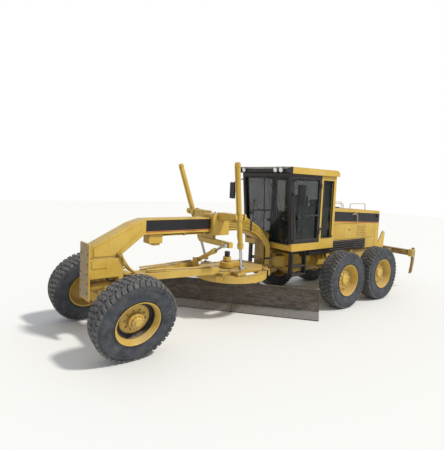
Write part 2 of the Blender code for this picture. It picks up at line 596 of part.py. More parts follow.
# ---------------------------------------------------------------- rear frame
def rear_frame():
    parts = []
    for side in (-1, 1):
        y = sorted((side * (RAIL_Y - RAIL_HALF), side * (RAIL_Y + RAIL_HALF)))
        parts.append(box((FRAME_REAR, -4.20), y, (RAIL_LOW, RAIL_HIGH)))
    parts.append(box((-4.42, -4.16), (-0.42, 0.42), (0.80, 1.20)))
    inner_low, inner_high = HITCH_LOW + LUG_T + GAP, HITCH_HIGH - LUG_T - GAP
    block = [(-4.20, 0.22), (HITCH_X, 0.10), (HITCH_X + 0.08, 0.05), (HITCH_X + 0.08, -0.05),
             (HITCH_X, -0.10),
             (-4.20, -0.22)]
    parts.append(prism(block, inner_low, inner_high, "Z"))
    parts.append(rod((HITCH_X, 0, HITCH_LOW - 0.02), (HITCH_X, 0, HITCH_HIGH + 0.02), HITCH_PIN_R))
    parts.append(box((FRAME_REAR, FRAME_REAR + 0.12), (-0.62, 0.62), (0.80, 1.15)))
    parts.append(box((-5.30, -5.15), (-0.40, 0.40), (0.90, 1.12)))
    parts.append(rod((TANDEM_MID_X, -CASE_IN + GAP, 0.80), (TANDEM_MID_X, CASE_IN - GAP, 0.80), 0.17))
    parts.append(box((TANDEM_MID_X - 0.12, TANDEM_MID_X + 0.12), (-0.45, 0.45), (0.82, 1.12)))
    for x in (-4.56, -5.06):
        for side in (-1, 1):
            y = sorted((side * 0.32, side * 0.56))
            parts.append(box((x - 0.07, x + 0.07), y, (1.04, CAB_FLOOR - GAP)))
    for x in (-5.40, -6.40, -7.40):
        for side in (-1, 1):
            y = sorted((side * 0.34, side * (HOOD_HALF - 0.03)))
            parts.append(box((x - 0.06, x + 0.06), y, (1.06, HOOD_LOW - GAP)))
    for side in (-1, 1):
        gusset = [(FRAME_REAR + 0.02, 1.12), (FRAME_REAR + 0.02, 0.82),
                  (RIPPER_HINGE_X - 0.07, RIPPER_HINGE_Z - 0.07),
                  (RIPPER_HINGE_X - 0.07, RIPPER_HINGE_Z + 0.07), (-7.98, 1.56), (-7.88, 1.60),
                  (FRAME_REAR + 0.02, 1.20)]
        y = sorted((side * RIPPER_ARM_Y, side * (RIPPER_ARM_Y + 0.03)))
        parts.append(prism(gusset, y[0], y[1]))
    cuts = [rod((RIPPER_HINGE_X, -0.6, RIPPER_HINGE_Z), (RIPPER_HINGE_X, 0.6, RIPPER_HINGE_Z),
                0.03 + PIN_RUN)]
    return node("rear_frame", parts, YELLOW, cuts=cuts)


def tandem(side, name):
    spread = TANDEM_SPACING / 2
    inside, outside = CASE_IN, CASE_OUT
    case = [(TANDEM_MID_X + spread + 0.22, AXLE_Z - 0.10), (TANDEM_MID_X + spread + 0.22, AXLE_Z + 0.10),
            (TANDEM_MID_X + spread + 0.08, AXLE_Z + 0.22), (TANDEM_MID_X + 0.25, AXLE_Z + 0.36),
            (TANDEM_MID_X - 0.25, AXLE_Z + 0.36), (TANDEM_MID_X - spread - 0.08, AXLE_Z + 0.22),
            (TANDEM_MID_X - spread - 0.22, AXLE_Z + 0.10), (TANDEM_MID_X - spread - 0.22, AXLE_Z - 0.10),
            (TANDEM_MID_X - spread - 0.08, AXLE_Z - 0.20), (TANDEM_MID_X + spread + 0.08, AXLE_Z - 0.20)]
    y = sorted((side * inside, side * outside))
    parts = [prism(case, y[0], y[1])]
    for end in (-1, 1):
        x = TANDEM_MID_X + end * spread
        parts.append(rod((x, side * 0.7, AXLE_Z), (x, side * (TRACK / 2 - HUB_INSET - GAP), AXLE_Z), 0.12))
        parts.append(rod((x, side * 0.7, AXLE_Z), (x, side * (TRACK / 2 + 0.02), AXLE_Z), SPINDLE_R))
    node(name + "_tandem_case", parts, YELLOW, origin=(TANDEM_MID_X, side * inside, 0.80))
    for end, place in ((1, "mid"), (-1, "rear")):
        wheel(place + "_" + name, TANDEM_MID_X + end * spread, side, AXLE_Z, Matrix(), (-0.03, 0.0))


# ---------------------------------------------------------------- cab
def cab():
    h = CAB_HALF
    side_shape = [(CAB_TOE, CAB_FLOOR), (CAB_REAR, CAB_FLOOR), (CAB_REAR, CAB_TOP), (CAB_FRONT, CAB_TOP)]
    inner = [(CAB_TOE - WALL, CAB_FLOOR + WALL), (CAB_REAR + WALL, CAB_FLOOR + WALL),
             (CAB_REAR + WALL, CAB_TOP + 0.1),
             (CAB_FRONT - WALL + 0.01, CAB_TOP + 0.1)]
    cuts = [prism(inner, -h + WALL, h - WALL)]
    cuts.append(prism([(DOOR_FRONT, SILL), (DOOR_REAR, SILL), (DOOR_REAR, DOOR_TOP),
                       (DOOR_FRONT + 0.14, DOOR_TOP)], -h - 0.1, h + 0.1))
    cuts.append(box((CAB_REAR + 0.10, DOOR_REAR - 0.09), (-h - 0.1, h + 0.1), (SILL + 0.06, 2.90)))
    cuts.append(box((CAB_REAR - 0.1, CAB_REAR + 0.1), (-h + 0.10, h - 0.10), (1.75, 2.90)))
    cuts.append(box((CAB_TOE - 0.15, CAB_FRONT + 0.2), (-h + 0.07, h - 0.07), (1.47, 2.93)))
    node("cab_body", [prism(side_shape, -h, h)], YELLOW, cuts=cuts, origin=(CAB_REAR, 0, CAB_FLOOR))
    o = ROOF_OVER
    z = CAB_TOP + GAP
    roof = [(CAB_FRONT + 0.16, z + 0.02), (CAB_FRONT + 0.16, z + 0.09), (CAB_FRONT, z + ROOF_H),
            (CAB_REAR - o + 0.08, z + ROOF_H), (CAB_REAR - o, z + 0.08), (CAB_REAR - o, z),
            (CAB_FRONT + 0.05, z)]
    node("cab_roof", [prism(roof, -h - o, h + o)], YELLOW, origin=(CAB_REAR, 0, z))
    g = GLASS_T
    lean = (CAB_FRONT - CAB_TOE + 0.01) / (CAB_TOP + 0.1 - CAB_FLOOR - WALL)
    low_x = CAB_TOE - WALL + lean * (1.42 - CAB_FLOOR - WALL) - GAP
    high_x = CAB_TOE - WALL + lean * (2.97 - CAB_FLOOR - WALL) - GAP
    slope = [(low_x, 1.42), (low_x - g, 1.42), (high_x - g, 2.97), (high_x, 2.97)]
    node("front_window", [prism(slope, -h + WALL + GAP + 0.001, h - WALL - GAP - 0.001)], GLASS, 0.1,
         origin=(low_x, 0, 1.42))
    x = CAB_REAR + WALL + GAP
    y = h - WALL - GAP
    pane = [(x, -y), (x, y), (DOOR_REAR - 0.05, y), (DOOR_REAR - 0.05, y - g), (x + g, y - g),
            (x + g, -y + g),
            (DOOR_REAR - 0.05, -y + g), (DOOR_REAR - 0.05, -y)]
    node("rear_window", [prism(pane, SILL + 0.02, 2.94, "Z")], GLASS, 0.1, origin=(x, 0, SILL))
    for side, name in ((1, "left"), (-1, "right")):
        clear = RUN
        lo, hi = SILL + clear, DOOR_TOP - clear
        dx = 0.14 * (hi - lo) / (DOOR_TOP - SILL)
        frame_outline = [(DOOR_FRONT - clear, lo), (DOOR_REAR + clear, lo), (DOOR_REAR + clear, hi),
                         (DOOR_FRONT - clear + dx, hi)]
        t = 0.055
        hole = [(DOOR_FRONT - clear - t - 0.01, lo + t), (DOOR_REAR + clear + t, lo + t),
                (DOOR_REAR + clear + t, hi - t),
                (DOOR_FRONT - clear - t - 0.01 + dx, hi - t)]
        y = sorted((side * (h - WALL + 0.008), side * h))
        hinge = Vector((DOOR_REAR - 0.004, side * (h + 0.012 + GAP), SILL))
        knuckles = []
        for z in (SILL + 0.15, DOOR_TOP - 0.25):
            knuckles.append(rod((hinge.x, hinge.y, z), (hinge.x, hinge.y, z + 0.10), 0.012, 12))
            leaf = sorted((side * (h + GAP), side * (h + 0.018)))
            root = sorted((side * (h - 0.01), side * (h + 0.0175)))
            knuckles.append(box((hinge.x, hinge.x + 0.03), leaf, (z, z + 0.10)))
            knuckles.append(box((DOOR_REAR + RUN + 0.002, hinge.x + 0.05), root, (z + 0.001, z + 0.099)))
        door = [prism(frame_outline, y[0], y[1])] + knuckles
        node(name + "_door", door, BLACK, 0.4, cuts=[prism(hole, -h - 0.2, h + 0.2)], origin=hinge)
        pane = [(DOOR_FRONT - clear - t - 0.01 + 0.02, lo + t - 0.02),
                (DOOR_REAR + clear + t - 0.02, lo + t - 0.02),
                (DOOR_REAR + clear + t - 0.02, hi - t + 0.02),
                (DOOR_FRONT - clear - t - 0.01 + dx + 0.02, hi - t + 0.02)]
        y1 = side * (h - WALL + 0.008 - GAP)
        node(name + "_door_window", [prism(pane, y1 - side * g, y1)], GLASS, 0.1, origin=hinge)
    seat = [box((-4.75, -4.28), (-0.25, 0.25), (1.80, 1.93)),
            prism([(-4.68, 1.88), (-4.78, 1.88), (-4.90, 2.55), (-4.80, 2.57)], -0.24, 0.24),
            box((-4.62, -4.40), (-0.12, 0.12), (CAB_FLOOR + WALL + GAP, 1.82))]
    node("operator_seat", seat, DARK, 0.8, origin=(-4.5, 0, CAB_FLOOR + WALL))
    console = [box((-4.05, -3.92), (-0.16, 0.16), (CAB_FLOOR + WALL + GAP, 1.50)),
               bar((-3.99, 0, 1.45), (-4.155, 0, 2.115), 0.13, 0.10, (1, 0, 0)),
               lathe([(0.17, -0.012), (0.20, -0.012), (0.20, 0.012), (0.17, 0.012)], (-4.16, 0, 2.12),
                     (-0.35, 0, 1)),
               bar((-4.16, -0.19, 2.12), (-4.16, 0.19, 2.12), 0.03, 0.018),
               bar((-4.07, -0.30, 1.93), (-4.07, 0.30, 1.93), 0.09, 0.06)]
    node("steering_console", console, BLACK, 0.5, origin=(-3.98, 0, CAB_FLOOR + WALL))


# ---------------------------------------------------------------- engine end
def engine_end():
    h = HOOD_HALF
    t = 0.03
    shape = [(HOOD_FRONT, HOOD_LOW), (HOOD_REAR, HOOD_LOW), (HOOD_REAR, HOOD_TOP_REAR),
             (HOOD_FRONT, HOOD_TOP_FRONT)]
    inner = [(HOOD_FRONT - t, HOOD_LOW - 0.2), (HOOD_REAR + t, HOOD_LOW - 0.2),
             (HOOD_REAR + t, HOOD_TOP_REAR - t),
             (HOOD_FRONT - t, HOOD_TOP_FRONT - t)]
    cuts = [prism(inner, -h + t, h - t), box((PANEL_REAR, PANEL_FRONT), (-h - 0.1, h + 0.1),
                                             (PANEL_LOW, PANEL_HIGH))]
    hood = [prism(shape, -h, h)]
    node("engine_hood", hood, YELLOW, cuts=cuts, origin=(HOOD_REAR, 0, HOOD_LOW))
    for side, name in ((1, "left"), (-1, "right")):
        y = sorted((side * (h - t), side * h))
        hinge = Vector((PANEL_FRONT + 0.004, side * (h + 0.011 + GAP), PANEL_LOW))
        door = [box((PANEL_REAR + RUN, PANEL_FRONT - RUN), y, (PANEL_LOW + RUN, PANEL_HIGH - RUN))]
        for z in (PANEL_LOW + 0.10, PANEL_HIGH - 0.20):
            door.append(rod((hinge.x, hinge.y, z), (hinge.x, hinge.y, z + 0.10), 0.011, 12))
            leaf = sorted((side * (h + GAP), side * (h + 0.016)))
            root = sorted((side * (h - 0.01), side * (h + 0.0155)))
            door.append(box((hinge.x - 0.03, hinge.x), leaf, (z, z + 0.10)))
            door.append(box((hinge.x - 0.05, PANEL_FRONT - RUN - 0.002), root, (z + 0.001, z + 0.099)))
        node(name + "_engine_door", door, YELLOW, origin=hinge)
    node("engine_block", [box((-6.95, -5.55), (-0.33, 0.33), (RAIL_HIGH + GAP, 1.95))], STEEL, 0.6, 0.5,
         origin=(-6.2, 0, RAIL_HIGH))
    fall = (HOOD_TOP_FRONT - HOOD_TOP_REAR) / (HOOD_FRONT - HOOD_REAR)
    top = HOOD_TOP_REAR + (STACK_X - HOOD_REAR) * fall
    stack = [rod((STACK_X, STACK_Y, top + 0.012), (STACK_X, STACK_Y, STACK_TOP - 0.10), 0.055),
             rod((STACK_X, STACK_Y, top + 0.012), (STACK_X, STACK_Y, top + 0.05), 0.09),
             rod((STACK_X, STACK_Y, STACK_TOP - 0.14), (STACK_X, STACK_Y - 0.12, STACK_TOP - 0.02), 0.055)]
    reach = 0.2
    foot = prism([(STACK_X + reach, top + reach * fall + GAP), (STACK_X - reach, top - reach * fall + GAP),
                  (STACK_X - reach, top + 0.02), (STACK_X + reach, top + 0.02)], STACK_Y - 0.11,
                  STACK_Y + 0.11)
    node("exhaust_stack", [foot] + stack, DARK, 0.6, 0.3, origin=(STACK_X, STACK_Y, top))


def ladders():
    front, rear = -3.86, -4.30
    low, high = 0.76, CAB_FLOOR - GAP
    for side, name in ((1, "left"), (-1, "right")):
        inner, outer = 0.60, 0.70
        y = sorted((side * inner, side * outer))
        rails = [box((x - 0.02, x + 0.02), y, (low, high)) for x in (front, rear)]
        steps = [box((rear, front), sorted((side * (inner - 0.08), side * (outer + 0.02))), (z, z + 0.03))
                 for z in (low + 0.02, low + 0.21)]
        steps.append(box((rear, front), y, (high - 0.04, high)))
        node(name + "_ladder", rails + steps, DARK, origin=(rear, side * inner, high))


# ---------------------------------------------------------------- ripper
def ripper():
    x, z = RIPPER_HINGE_X, RIPPER_HINGE_Z
    y = RIPPER_ARM_Y - RUN
    parts = [rod((x, -RIPPER_ARM_Y - 0.03, z), (x, RIPPER_ARM_Y + 0.03, z), 0.03)]
    for side in (-1, 1):
        arm = [(x + 0.06, z - 0.07), (x + 0.06, z + 0.07), (RIPPER_BEAM_X, RIPPER_BEAM_Z + 0.06),
               (RIPPER_BEAM_X, RIPPER_BEAM_Z - 0.06)]
        parts.append(prism(arm, side * (y - 0.06), side * y))
    parts.append(box((RIPPER_BEAM_X - 0.08, RIPPER_BEAM_X + 0.08), (-RIPPER_HALF, RIPPER_HALF),
                     (RIPPER_BEAM_Z - 0.075, RIPPER_BEAM_Z + 0.075)))
    for place in (-1, 0, 1):
        s = place * (RIPPER_HALF - 0.06)
        shank = [(RIPPER_BEAM_X - 0.05, RIPPER_BEAM_Z + 0.14), (RIPPER_BEAM_X - 0.11, RIPPER_BEAM_Z + 0.14),
                 (RIPPER_BEAM_X - 0.13, 0.72), (RIPPER_BEAM_X - 0.04, 0.44), (RIPPER_BEAM_X + 0.03, 0.42),
                 (RIPPER_BEAM_X - 0.04, 0.72)]
        parts.append(prism(shank, s - 0.03, s + 0.03))
    lug_x, lug_z = RIPPER_BEAM_X + 0.12, RIPPER_BEAM_Z + 0.15
    for end in (-1, 1):
        lug = [(lug_x + 0.05, lug_z + 0.04), (lug_x - 0.05, lug_z + 0.04),
               (RIPPER_BEAM_X - 0.02, RIPPER_BEAM_Z),
               (RIPPER_BEAM_X + 0.07, RIPPER_BEAM_Z)]
        parts.append(prism(lug, end * (CHEEK_Y + GAP), end * (CHEEK_Y + 0.03)))
    node("ripper", parts, YELLOW, origin=(x, 0, z))
    head = Vector((FRAME_REAR - 0.10, 0, 1.50))
    foot = Vector((lug_x, 0, lug_z))
    length = (foot - head).length
    lug = rod(head + Vector((0, -CHEEK_Y, 0)), head + Vector((0, CHEEK_Y, 0)), 0.05)
    piston = cylinder("ripper", head, foot, (0.0, length * 0.70), length * 0.15, (0.045, 0.026), lug)
    eye = rod(foot + Vector((0, -CHEEK_Y, 0)), foot + Vector((0, CHEEK_Y, 0)), 0.045)
    node("ripper_rod", [piston, eye], STEEL, 0.3, 1.0, origin=foot)
    bracket = [box((FRAME_REAR - 0.03, FRAME_REAR - GAP), (-0.12, 0.12), (0.95, 1.60))]
    for end in (-1, 1):
        cheek = [(FRAME_REAR - 0.02, 1.58), (head.x - 0.06, 1.56), (head.x - 0.06, 1.44),
                 (FRAME_REAR - 0.02, 1.20)]
        bracket.append(prism(cheek, end * (CHEEK_Y + GAP), end * (CHEEK_Y + 0.03)))
    node("ripper_cylinder_bracket", bracket, YELLOW, origin=(FRAME_REAR, 0, 1.2))


def main():
    clear_scene()
    front_axle_group()
    front_frame()
    blade_lift()
    centre_shift()
    drawbar()
    circle()
    blade_carrier()
    moldboard()
    rear_frame()
    for side, name in ((1, "left"), (-1, "right")):
        tandem(side, name)
    cab()
    engine_end()
    ladders()
    ripper()


main()
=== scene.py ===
"""Looks of the motor grader: finishes, tyres with tread, rims, cab trim, pipes, lamps and small fittings."""
import json
import math

import bpy
from mathutils import Matrix, Vector


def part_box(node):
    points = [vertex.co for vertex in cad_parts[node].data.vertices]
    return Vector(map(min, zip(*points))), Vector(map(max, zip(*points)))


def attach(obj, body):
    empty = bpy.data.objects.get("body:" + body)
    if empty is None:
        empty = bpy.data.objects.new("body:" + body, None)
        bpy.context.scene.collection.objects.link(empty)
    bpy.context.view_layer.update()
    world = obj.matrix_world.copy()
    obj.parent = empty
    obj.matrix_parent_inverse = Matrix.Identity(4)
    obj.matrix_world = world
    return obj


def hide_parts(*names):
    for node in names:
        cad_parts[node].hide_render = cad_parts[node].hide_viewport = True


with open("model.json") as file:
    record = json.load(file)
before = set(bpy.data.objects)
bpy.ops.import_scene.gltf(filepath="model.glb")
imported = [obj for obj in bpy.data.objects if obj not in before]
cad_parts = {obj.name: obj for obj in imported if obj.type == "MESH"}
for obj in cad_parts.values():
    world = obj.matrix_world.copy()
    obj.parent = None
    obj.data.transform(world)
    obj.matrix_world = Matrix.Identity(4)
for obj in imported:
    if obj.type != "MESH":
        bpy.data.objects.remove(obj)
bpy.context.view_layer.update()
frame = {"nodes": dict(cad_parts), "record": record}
NODES = frame["nodes"]
JOINTS = {j["name"]: j for j in frame["record"]["behaviour"]["joints"]}

# ---------------------------------------------------------------- places read from the frame
AXLE_X = JOINTS["wheel_lean"]["pos_m"][0]      # the front axle: sizes along X are written from it
TYRE_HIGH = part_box("mid_left_tyre")[1][2]
TYRE_R = TYRE_HIGH / 2
RIM_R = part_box("mid_left_rim")[1][2] - TYRE_R
ROOF_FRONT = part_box("cab_roof")[1][0]

TYRE_HALF = 0.19               # half of a tyre's width
HOOD_HALF = 0.50               # half widths of the hood, the cab and the tandem cases' outer faces
CAB_HALF = 0.75
CASE_OUT = 0.80
BAND_LOW, BAND_HIGH = 1.832, 2.03
BAND_REAR, BAND_FRONT = -2.13, -0.62
HOOD_BAND_LOW, HOOD_BAND_HIGH = 1.945, 2.185
HOOD_FRONT, HOOD_FALL = -5.24, 0.038
SILL_TOP, DOOR_POST = 1.500, -4.665
PLATE_FACE = 0.393             # the nose plate's front face
BLADE_L, BLADE_SHIFT = 3.66, 0.047
CIRCLE_TEETH = 64
TREAD_PITCHES = 44

GOLD = (0.56, 0.345, 0.035)
GOLD_PALE = (0.66, 0.455, 0.095)
DUST = (0.42, 0.33, 0.22)
EARTH = (0.12, 0.075, 0.045)
NOSE_FACE_SHADE = (0.16, 0.10, 0.055)
CAB_BLACK = (0.012, 0.012, 0.014)
BAND = (0.006, 0.005, 0.008)
RED = (0.42, 0.02, 0.015)


def at(x, y, z):
    """A place written from the front axle."""
    return Vector((x + AXLE_X, y, z))


# ---------------------------------------------------------------- materials
class Nodes:
    """Short names for building one material's nodes."""

    def __init__(self, name):
        self.material = bpy.data.materials.new(name)
        self.material.use_nodes = True
        self.tree = self.material.node_tree
        self.shader = self.tree.nodes["Principled BSDF"]
        self.place = self.add("ShaderNodeTexCoord").outputs["Object"]

    def add(self, kind, **settings):
        node = self.tree.nodes.new(kind)
        for key, value in settings.items():
            setattr(node, key, value)
        return node

    def join(self, out, socket):
        self.tree.links.new(out, socket)

    def feed(self, value, socket):
        if hasattr(value, "is_linked"):
            self.join(value, socket)
        else:
            socket.default_value = value

    def noise(self, scale, detail=6.0, rough=0.6, stretch=(1, 1, 1)):
        spot = self.place
        if stretch != (1, 1, 1):
            mapping = self.add("ShaderNodeMapping")
            mapping.inputs["Scale"].default_value = stretch
            self.join(spot, mapping.inputs["Vector"])
            spot = mapping.outputs["Vector"]
        node = self.add("ShaderNodeTexNoise")
        self.join(spot, node.inputs["Vector"])
        node.inputs["Scale"].default_value = scale
        node.inputs["Detail"].default_value = detail
        node.inputs["Roughness"].default_value = rough
        return node.outputs["Fac"]

    def span(self, value, low, high, to_low=0.0, to_high=1.0):
        node = self.add("ShaderNodeMapRange", clamp=True)
        self.feed(value, node.inputs["Value"])
        node.inputs["From Min"].default_value = low
        node.inputs["From Max"].default_value = high
        node.inputs["To Min"].default_value = to_low
        node.inputs["To Max"].default_value = to_high
        return node.outputs["Result"]

    def math(self, operation, a, b=0.0):
        node = self.add("ShaderNodeMath", operation=operation)
        self.feed(a, node.inputs[0])
        self.feed(b, node.inputs[1])
        return node.outputs[0]

    def mix(self, factor, a, b):
        node = self.add("ShaderNodeMix", data_type="RGBA")
        self.feed(factor, node.inputs[0])
        for value, index in ((a, 6), (b, 7)):
            if isinstance(value, tuple):
                value = (*value, 1.0)
            self.feed(value, node.inputs[index])
        return node.outputs[2]

    def axis(self, name):
        node = self.add("ShaderNodeSeparateXYZ")
        self.join(self.place, node.inputs[0])
        return node.outputs[name]

    def facing_up(self):
        geometry = self.add("ShaderNodeNewGeometry")
        node = self.add("ShaderNodeSeparateXYZ")
        self.join(geometry.outputs["Normal"], node.inputs[0])
        return node.outputs["Z"]

    def edges(self, radius=0.012):
        """1 along sharp edges, 0 on flat faces, and a bump that rounds them."""
        bevel = self.add("ShaderNodeBevel", samples=4)
        bevel.inputs["Radius"].default_value = radius
        geometry = self.add("ShaderNodeNewGeometry")
        dot = self.add("ShaderNodeVectorMath", operation="DOT_PRODUCT")
        self.join(bevel.outputs[0], dot.inputs[0])
        self.join(geometry.outputs["Normal"], dot.inputs[1])
        return self.span(dot.outputs["Value"], 0.995, 0.80), bevel.outputs[0]

    def bump(self, height, strength, distance=0.004, normal=None):
        node = self.add("ShaderNodeBump")
        node.inputs["Strength"].default_value = strength
        node.inputs["Distance"].default_value = distance
        self.join(height, node.inputs["Height"])
        if normal is not None:
            self.join(normal, node.inputs["Normal"])
        self.join(node.outputs["Normal"], self.shader.inputs["Normal"])

    def finish(self, colour, roughness, metallic=0.0):
        self.feed((*colour, 1.0) if isinstance(colour, tuple) else colour, self.shader.inputs["Base Color"])
        self.feed(roughness, self.shader.inputs["Roughness"])
        self.shader.inputs["Metallic"].default_value = metallic
        return self.material


def within(n, value, low, high, soft=0.002):
    """1 where a coordinate lies between two values."""
    above = n.span(value, low - soft, low + soft)
    below = n.span(value, high - soft, high + soft, 1.0, 0.0)
    return n.math("MULTIPLY", above, below)


def paint(name, main, pale, dirt=1.0, stripes=None, wear=0.6):
    """Sun-faded machine paint: mottled colour, dust on top and low down, dark streaks, painted shade mixed with
    grime in corners, and worn edges.
    """
    n = Nodes(name)
    patch = n.span(n.noise(1.7), 0.35, 0.70)
    colour = n.mix(patch, main, pale)
    fine = n.span(n.noise(24.0, 8.0), 0.40, 0.75, 0.0, 0.22)
    colour = n.mix(fine, colour, tuple(c * 0.72 for c in main))
    if stripes:
        colour = stripes(n, colour)
    streak = n.span(n.noise(3.0, 7.0, 0.65, (5, 5, 0.7)), 0.58, 0.80, 0.0, 0.35 * dirt)
    colour = n.mix(streak, colour, EARTH)
    settled = n.span(n.noise(5.0), 0.30, 0.62, 0.0, 0.55 * dirt)
    colour = n.mix(n.math("MULTIPLY", n.span(n.facing_up(), 0.35, 0.95), settled), colour, DUST)
    # Corners found by ambient occlusion are painted dark brown. This is painted shade for creases and recesses,
    # broken up by noise that stands for grime.
    corner = n.add("ShaderNodeAmbientOcclusion", samples=6, only_local=False)
    corner.inputs["Distance"].default_value = 0.14
    grime_and_shade_breakup = n.span(n.noise(10.0), 0.25, 0.65, 0.30, 0.85)
    grime_and_corner_shade = n.math("MULTIPLY", n.span(corner.outputs["AO"], 0.80, 0.30), grime_and_shade_breakup)
    colour = n.mix(grime_and_corner_shade, colour, (0.075, 0.045, 0.022))
    thrown = n.span(n.noise(7.0, 8.0), 0.36, 0.66, 0.0, 0.60 * dirt)
    colour = n.mix(n.math("MULTIPLY", n.span(n.axis("Z"), 1.25, 0.30), thrown), colour, DUST)
    edge, rounded = n.edges()
    chips = n.math("MULTIPLY", edge, n.span(n.noise(16.0, 9.0, 0.7), 0.48, 0.62, 0.0, wear))
    colour = n.mix(chips, colour, (0.16, 0.10, 0.06))
    n.bump(n.noise(60.0, 3.0), 0.05, 0.002, rounded)
    rough = n.span(n.noise(9.0), 0.3, 0.7, 0.34, 0.56)
    return n.finish(colour, rough)


def beam_stripes(n, colour):
    """The black band with a thin red line along both sides of the gooseneck beam."""
    x, z = n.axis("X"), n.axis("Z")
    along = within(n, x, AXLE_X + BAND_REAR, AXLE_X + BAND_FRONT)
    colour = n.mix(n.math("MULTIPLY", along, within(n, z, BAND_LOW, BAND_HIGH)), colour, BAND)
    return n.mix(n.math("MULTIPLY", along, within(n, z, BAND_LOW - 0.020, BAND_LOW - 0.006)), colour, RED)


def nose_and_post(n, colour):
    """Bands, painted shade (a mottled dark brown) on the front face of the nose plate, and the oily, darker
    hitch post.
    """
    colour = beam_stripes(n, colour)
    x = n.axis("X")
    # The nose plate's front face is painted a mottled dark brown. This is painted shade for the face turned
    # away from the sun.
    mottle_amount = n.span(n.noise(8.0, 8.0), 0.25, 0.60, 0.55, 0.92)
    plate = n.math("MULTIPLY", n.span(x, AXLE_X + PLATE_FACE, AXLE_X + PLATE_FACE + 0.006), mottle_amount)
    colour = n.mix(plate, colour, NOSE_FACE_SHADE)
    oil = n.span(n.noise(5.0, 8.0), 0.30, 0.62, 0.25, 0.80)
    post = n.math("MULTIPLY", n.span(x, AXLE_X - 3.05, AXLE_X - 3.55), oil)
    return n.mix(post, colour, (0.10, 0.065, 0.030))


def cab_black(n, colour):
    """The front part of the cab is black above the sill; its rear pillars stay yellow."""
    front = n.span(n.axis("X"), AXLE_X + DOOR_POST, AXLE_X + DOOR_POST + 0.005)
    above = n.span(n.axis("Z"), SILL_TOP, SILL_TOP + 0.005)
    return n.mix(n.math("MULTIPLY", front, above), colour, CAB_BLACK)


def roof_black(n, colour):
    """The roof's front face is black between its lamps."""
    return n.mix(n.span(n.axis("X"), AXLE_X - 3.62, AXLE_X - 3.615), colour, CAB_BLACK)


def caked(n, colour):
    """Earth dried on the ripper's beam and arms."""
    cake = n.span(n.noise(4.0, 8.0), 0.30, 0.58, 0.25, 0.85)
    return n.mix(cake, colour, (0.14, 0.09, 0.055))


def hood_stripes(n, colour):
    """The same band round the top of the hood, with its red line below."""
    z = n.axis("Z")
    fall = n.math("MULTIPLY", n.math("SUBTRACT", AXLE_X + HOOD_FRONT, n.axis("X")), HOOD_FALL)
    level = n.math("ADD", z, fall)
    colour = n.mix(within(n, level, HOOD_BAND_LOW, HOOD_BAND_HIGH), colour, BAND)
    return n.mix(within(n, level, HOOD_BAND_LOW - 0.023, HOOD_BAND_LOW - 0.007), colour, RED)


def rubber():
    n = Nodes("tyre_rubber_look")
    colour = n.mix(n.span(n.noise(6.0, 8.0), 0.35, 0.7), (0.026, 0.031, 0.040), (0.062, 0.070, 0.085))
    dust = n.span(n.noise(11.0, 9.0, 0.7), 0.46, 0.74, 0.0, 0.38)
    colour = n.mix(dust, colour, (0.17, 0.15, 0.13))
    n.bump(n.noise(90.0, 4.0), 0.15, 0.002)
    return n.finish(colour, n.span(n.noise(20.0), 0.3, 0.7, 0.68, 0.92))


def tread_rubber():
    n = Nodes("tread_rubber_look")
    colour = n.mix(n.span(n.noise(14.0, 8.0), 0.35, 0.7), (0.055, 0.057, 0.062), (0.175, 0.165, 0.155))
    n.bump(n.noise(70.0, 5.0), 0.25, 0.003)
    return n.finish(colour, 0.88)


def black(name, shine=0.42):
    n = Nodes(name)
    colour = n.mix(n.span(n.noise(5.0), 0.35, 0.7), (0.010, 0.010, 0.012), (0.028, 0.027, 0.028))
    dust = n.math("MULTIPLY", n.span(n.facing_up(), 0.2, 0.9), n.span(n.noise(9.0), 0.35, 0.65, 0.0, 0.5))
    colour = n.mix(dust, colour, DUST)
    edge, rounded = n.edges(0.006)
    colour = n.mix(n.math("MULTIPLY", edge, 0.25), colour, (0.10, 0.10, 0.10))
    n.bump(n.noise(80.0), 0.05, 0.002, rounded)
    return n.finish(colour, n.span(n.noise(12.0), 0.3, 0.7, shine, shine + 0.2))


def chrome():
    n = Nodes("polished_rod")
    drawn = n.span(n.noise(30.0, 4.0, 0.5, (1, 1, 0.05)), 0.4, 0.7)
    colour = n.mix(drawn, (0.60, 0.60, 0.62), (0.42, 0.40, 0.38))
    return n.finish(colour, n.span(n.noise(40.0), 0.3, 0.7, 0.12, 0.28), 1.0)


def scoured_steel():
    """A blade face rubbed bright along its length, with brown rust between."""
    n = Nodes("scoured_steel")
    rub = n.span(n.noise(6.0, 9.0, 0.7, (1, 1, 6)), 0.38, 0.66)
    colour = n.mix(rub, (0.085, 0.060, 0.045), (0.20, 0.18, 0.16))
    mottle_amount = n.span(n.noise(3.0, 7.0), 0.45, 0.70, 0.0, 0.7)
    colour = n.mix(mottle_amount, colour, (0.10, 0.075, 0.055))
    n.bump(n.noise(50.0, 6.0), 0.25, 0.003)
    return n.finish(colour, n.span(n.noise(18.0), 0.3, 0.7, 0.45, 0.8), 0.55)


def plain(name, colour, roughness, metallic=0.0, scale=20.0, spread=0.75):
    n = Nodes(name)
    mixed = n.mix(n.span(n.noise(scale, 6.0), 0.35, 0.7), colour, tuple(c * spread for c in colour))
    n.bump(n.noise(scale * 3), 0.08, 0.002)
    return n.finish(mixed, n.span(n.noise(scale), 0.3, 0.7, roughness, min(1.0, roughness + 0.15)), metallic)


def glass():
    n = Nodes("cab_glass")
    dirt = n.span(n.noise(4.0, 8.0), 0.45, 0.75, 0.0, 0.25)
    colour = n.mix(dirt, (0.012, 0.020, 0.019), (0.12, 0.115, 0.095))
    n.finish(colour, 0.04)
    n.shader.inputs["IOR"].default_value = 1.45
    n.join(n.span(dirt, 0.0, 0.25, 0.46, 0.60), n.shader.inputs["Alpha"])
    return n.material


